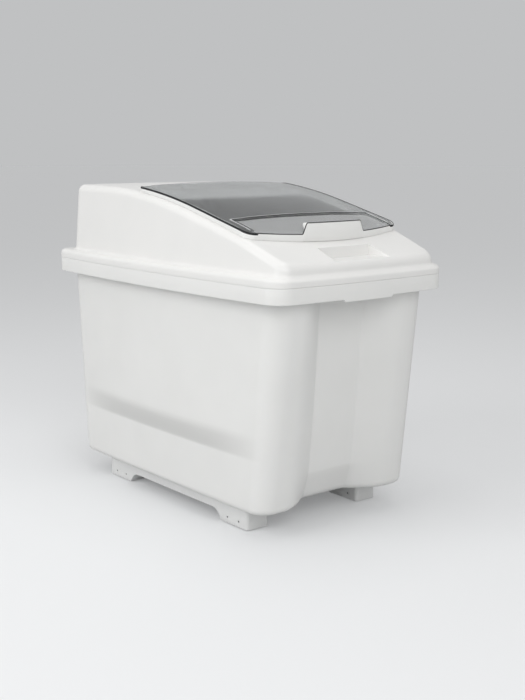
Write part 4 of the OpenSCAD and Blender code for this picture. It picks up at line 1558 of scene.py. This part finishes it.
@dataclass
class Studio:
    """The floor, the lights and the camera."""

    floor: str = "D4D5D6"
    backdrop: str = "C0C1C2"
    floor_lift: float = 0.26
    world: float = 0.53
    camera_mm: tuple[float, float, float] = (-1342.4, -1748.2, 687.4)
    pitch_deg: float = 10.387
    yaw_deg: float = 38.83
    lens_mm: float = 57.02
    sensor_mm: float = 36.0
    view_end: float = 200.0
    floor_radii: tuple[float, ...] = (40000.0, 4000.0, 400.0)
    floor_sides: int = 64
    tooth_mm: float = 4.0
    tooth_depth_mm: float = 0.2
    # Each soft box's name, place in metres and watts
    lamps: tuple[tuple[str, tuple[float, float, float], float], ...] = (
        ("left_soft_box", (-2.2, 0.3, 1.5), 22.0), ("top_soft_box", (0.0, 0.0, 3.0), 14.0),
        ("front_soft_box", (-1.0, -2.6, 1.8), 26.0))
    lamp_aim: tuple[float, float, float] = (0.0, 0.0, 0.35)
    lamp_size: float = 1.8

    def floor_finish(self) -> bpy.types.Material:
        """Matt paper: a pale even floor with a faint tooth."""
        material, tree, output = new_material("matt studio paper")
        place = add_node(tree, "ShaderNodeTexCoord").outputs["Object"]
        tooth = add_node(tree, "ShaderNodeTexNoise", {"Scale": 1.0 / (self.tooth_mm * MM), "Detail": 2.0},
                         {"Vector": place})
        skin = add_node(tree, "ShaderNodeBump", {"Strength": 0.1, "Distance": self.tooth_depth_mm * MM},
                        {"Height": tooth.outputs["Fac"]})
        path = add_node(tree, "ShaderNodeLightPath").outputs
        lift = add_node(tree, "ShaderNodeMath", {1: self.floor_lift}, {0: path["Is Camera Ray"]},
                        operation="MULTIPLY")
        shader = add_node(tree, "ShaderNodeBsdfPrincipled",
                          {"Base Color": linear(self.floor), "Roughness": 0.9, "Specular IOR Level": 0.1,
                           "Emission Color": linear(self.floor)},
                          {"Normal": skin.outputs["Normal"], "Emission Strength": lift.outputs[0]})
        tree.links.new(shader.outputs["BSDF"], output.inputs["Surface"])
        return material

    def add_floor(self) -> None:
        """A round floor under the rollers."""
        a = np.linspace(0.0, 2.0 * math.pi, self.floor_sides, endpoint=False)
        rows = [np.stack([r * np.cos(a), r * np.sin(a), np.zeros_like(a)], 1) for r in self.floor_radii]
        floor = new_object("studio_floor", skin_mesh("studio_floor", rows, cap_last=True))
        floor.data.materials.append(self.floor_finish())

    def add_world(self) -> None:
        """An even sky that lights the bin, and a pale backdrop that the eye, gloss and clear sheet see."""
        world = bpy.data.worlds.new("studio")
        world.use_nodes = True
        tree = world.node_tree
        tree.nodes.clear()
        path = add_node(tree, "ShaderNodeLightPath").outputs
        direct = add_node(tree, "ShaderNodeMath", feeds={0: path["Is Camera Ray"], 1: path["Is Glossy Ray"]},
                          operation="MAXIMUM")
        seen = add_node(tree, "ShaderNodeMath", feeds={0: direct.outputs[0], 1: path["Is Transmission Ray"]},
                        operation="MAXIMUM")
        light = add_node(tree, "ShaderNodeBackground", {"Color": linear("FFFFFF"), "Strength": self.world})
        paper = add_node(tree, "ShaderNodeBackground", {"Color": linear(self.backdrop), "Strength": 1.0})
        mix = add_node(tree, "ShaderNodeMixShader",
                       feeds={0: seen.outputs[0], 1: light.outputs[0], 2: paper.outputs[0]})
        add_node(tree, "ShaderNodeOutputWorld", feeds={"Surface": mix.outputs[0]})
        bpy.context.scene.world = world

    def add_light(self, name: str, place: Sequence[float], watts: float) -> None:
        """Adds a square soft box that faces the bin.

        Args:
            name: The light's name.
            place: Where it stands, in metres.
            watts: Its power.
        """
        lamp = bpy.data.lights.new(name, "AREA")
        lamp.shape, lamp.size, lamp.energy = "SQUARE", self.lamp_size, watts
        box = bpy.data.objects.new(name, lamp)
        box.location = place
        box.rotation_euler = (Vector(self.lamp_aim) - Vector(place)).to_track_quat("-Z", "Y").to_euler()
        bpy.context.scene.collection.objects.link(box)

    def add_camera(self) -> None:
        """The camera at the photograph's place."""
        data = bpy.data.cameras.new("camera")
        data.lens, data.sensor_width, data.clip_end = self.lens_mm, self.sensor_mm, self.view_end
        camera = bpy.data.objects.new("camera", data)
        camera.location = Vector(self.camera_mm) * MM
        tilt, turn = math.radians(90.0 - self.pitch_deg), -math.radians(self.yaw_deg)
        camera.rotation_euler = Euler((tilt, 0.0, turn))
        bpy.context.scene.collection.objects.link(camera)
        bpy.context.scene.camera = camera

    def build(self) -> None:
        """Sets the floor, world, lights, camera and view transform."""
        self.add_floor()
        self.add_world()
        for name, place, watts in self.lamps:
            self.add_light(name, place, watts)
        self.add_camera()
        bpy.context.scene.view_settings.view_transform = "Standard"


def main() -> None:
    """Builds the bin's pieces in order and sets the studio."""
    logging.basicConfig(level=logging.INFO, format="%(name)s %(message)s")
    Studio().build()
    tub = Tub()
    hood = Hood(tub)
    lid = Lid(hood)
    row, bead = RowTool("row of parts"), BeadTool("bead along a path")
    tub.build()
    hood.build()
    lid.build(bead)
    Hinge(lid).build(row)
    Chassis().build(row)


if __name__ == "__main__":
    main()
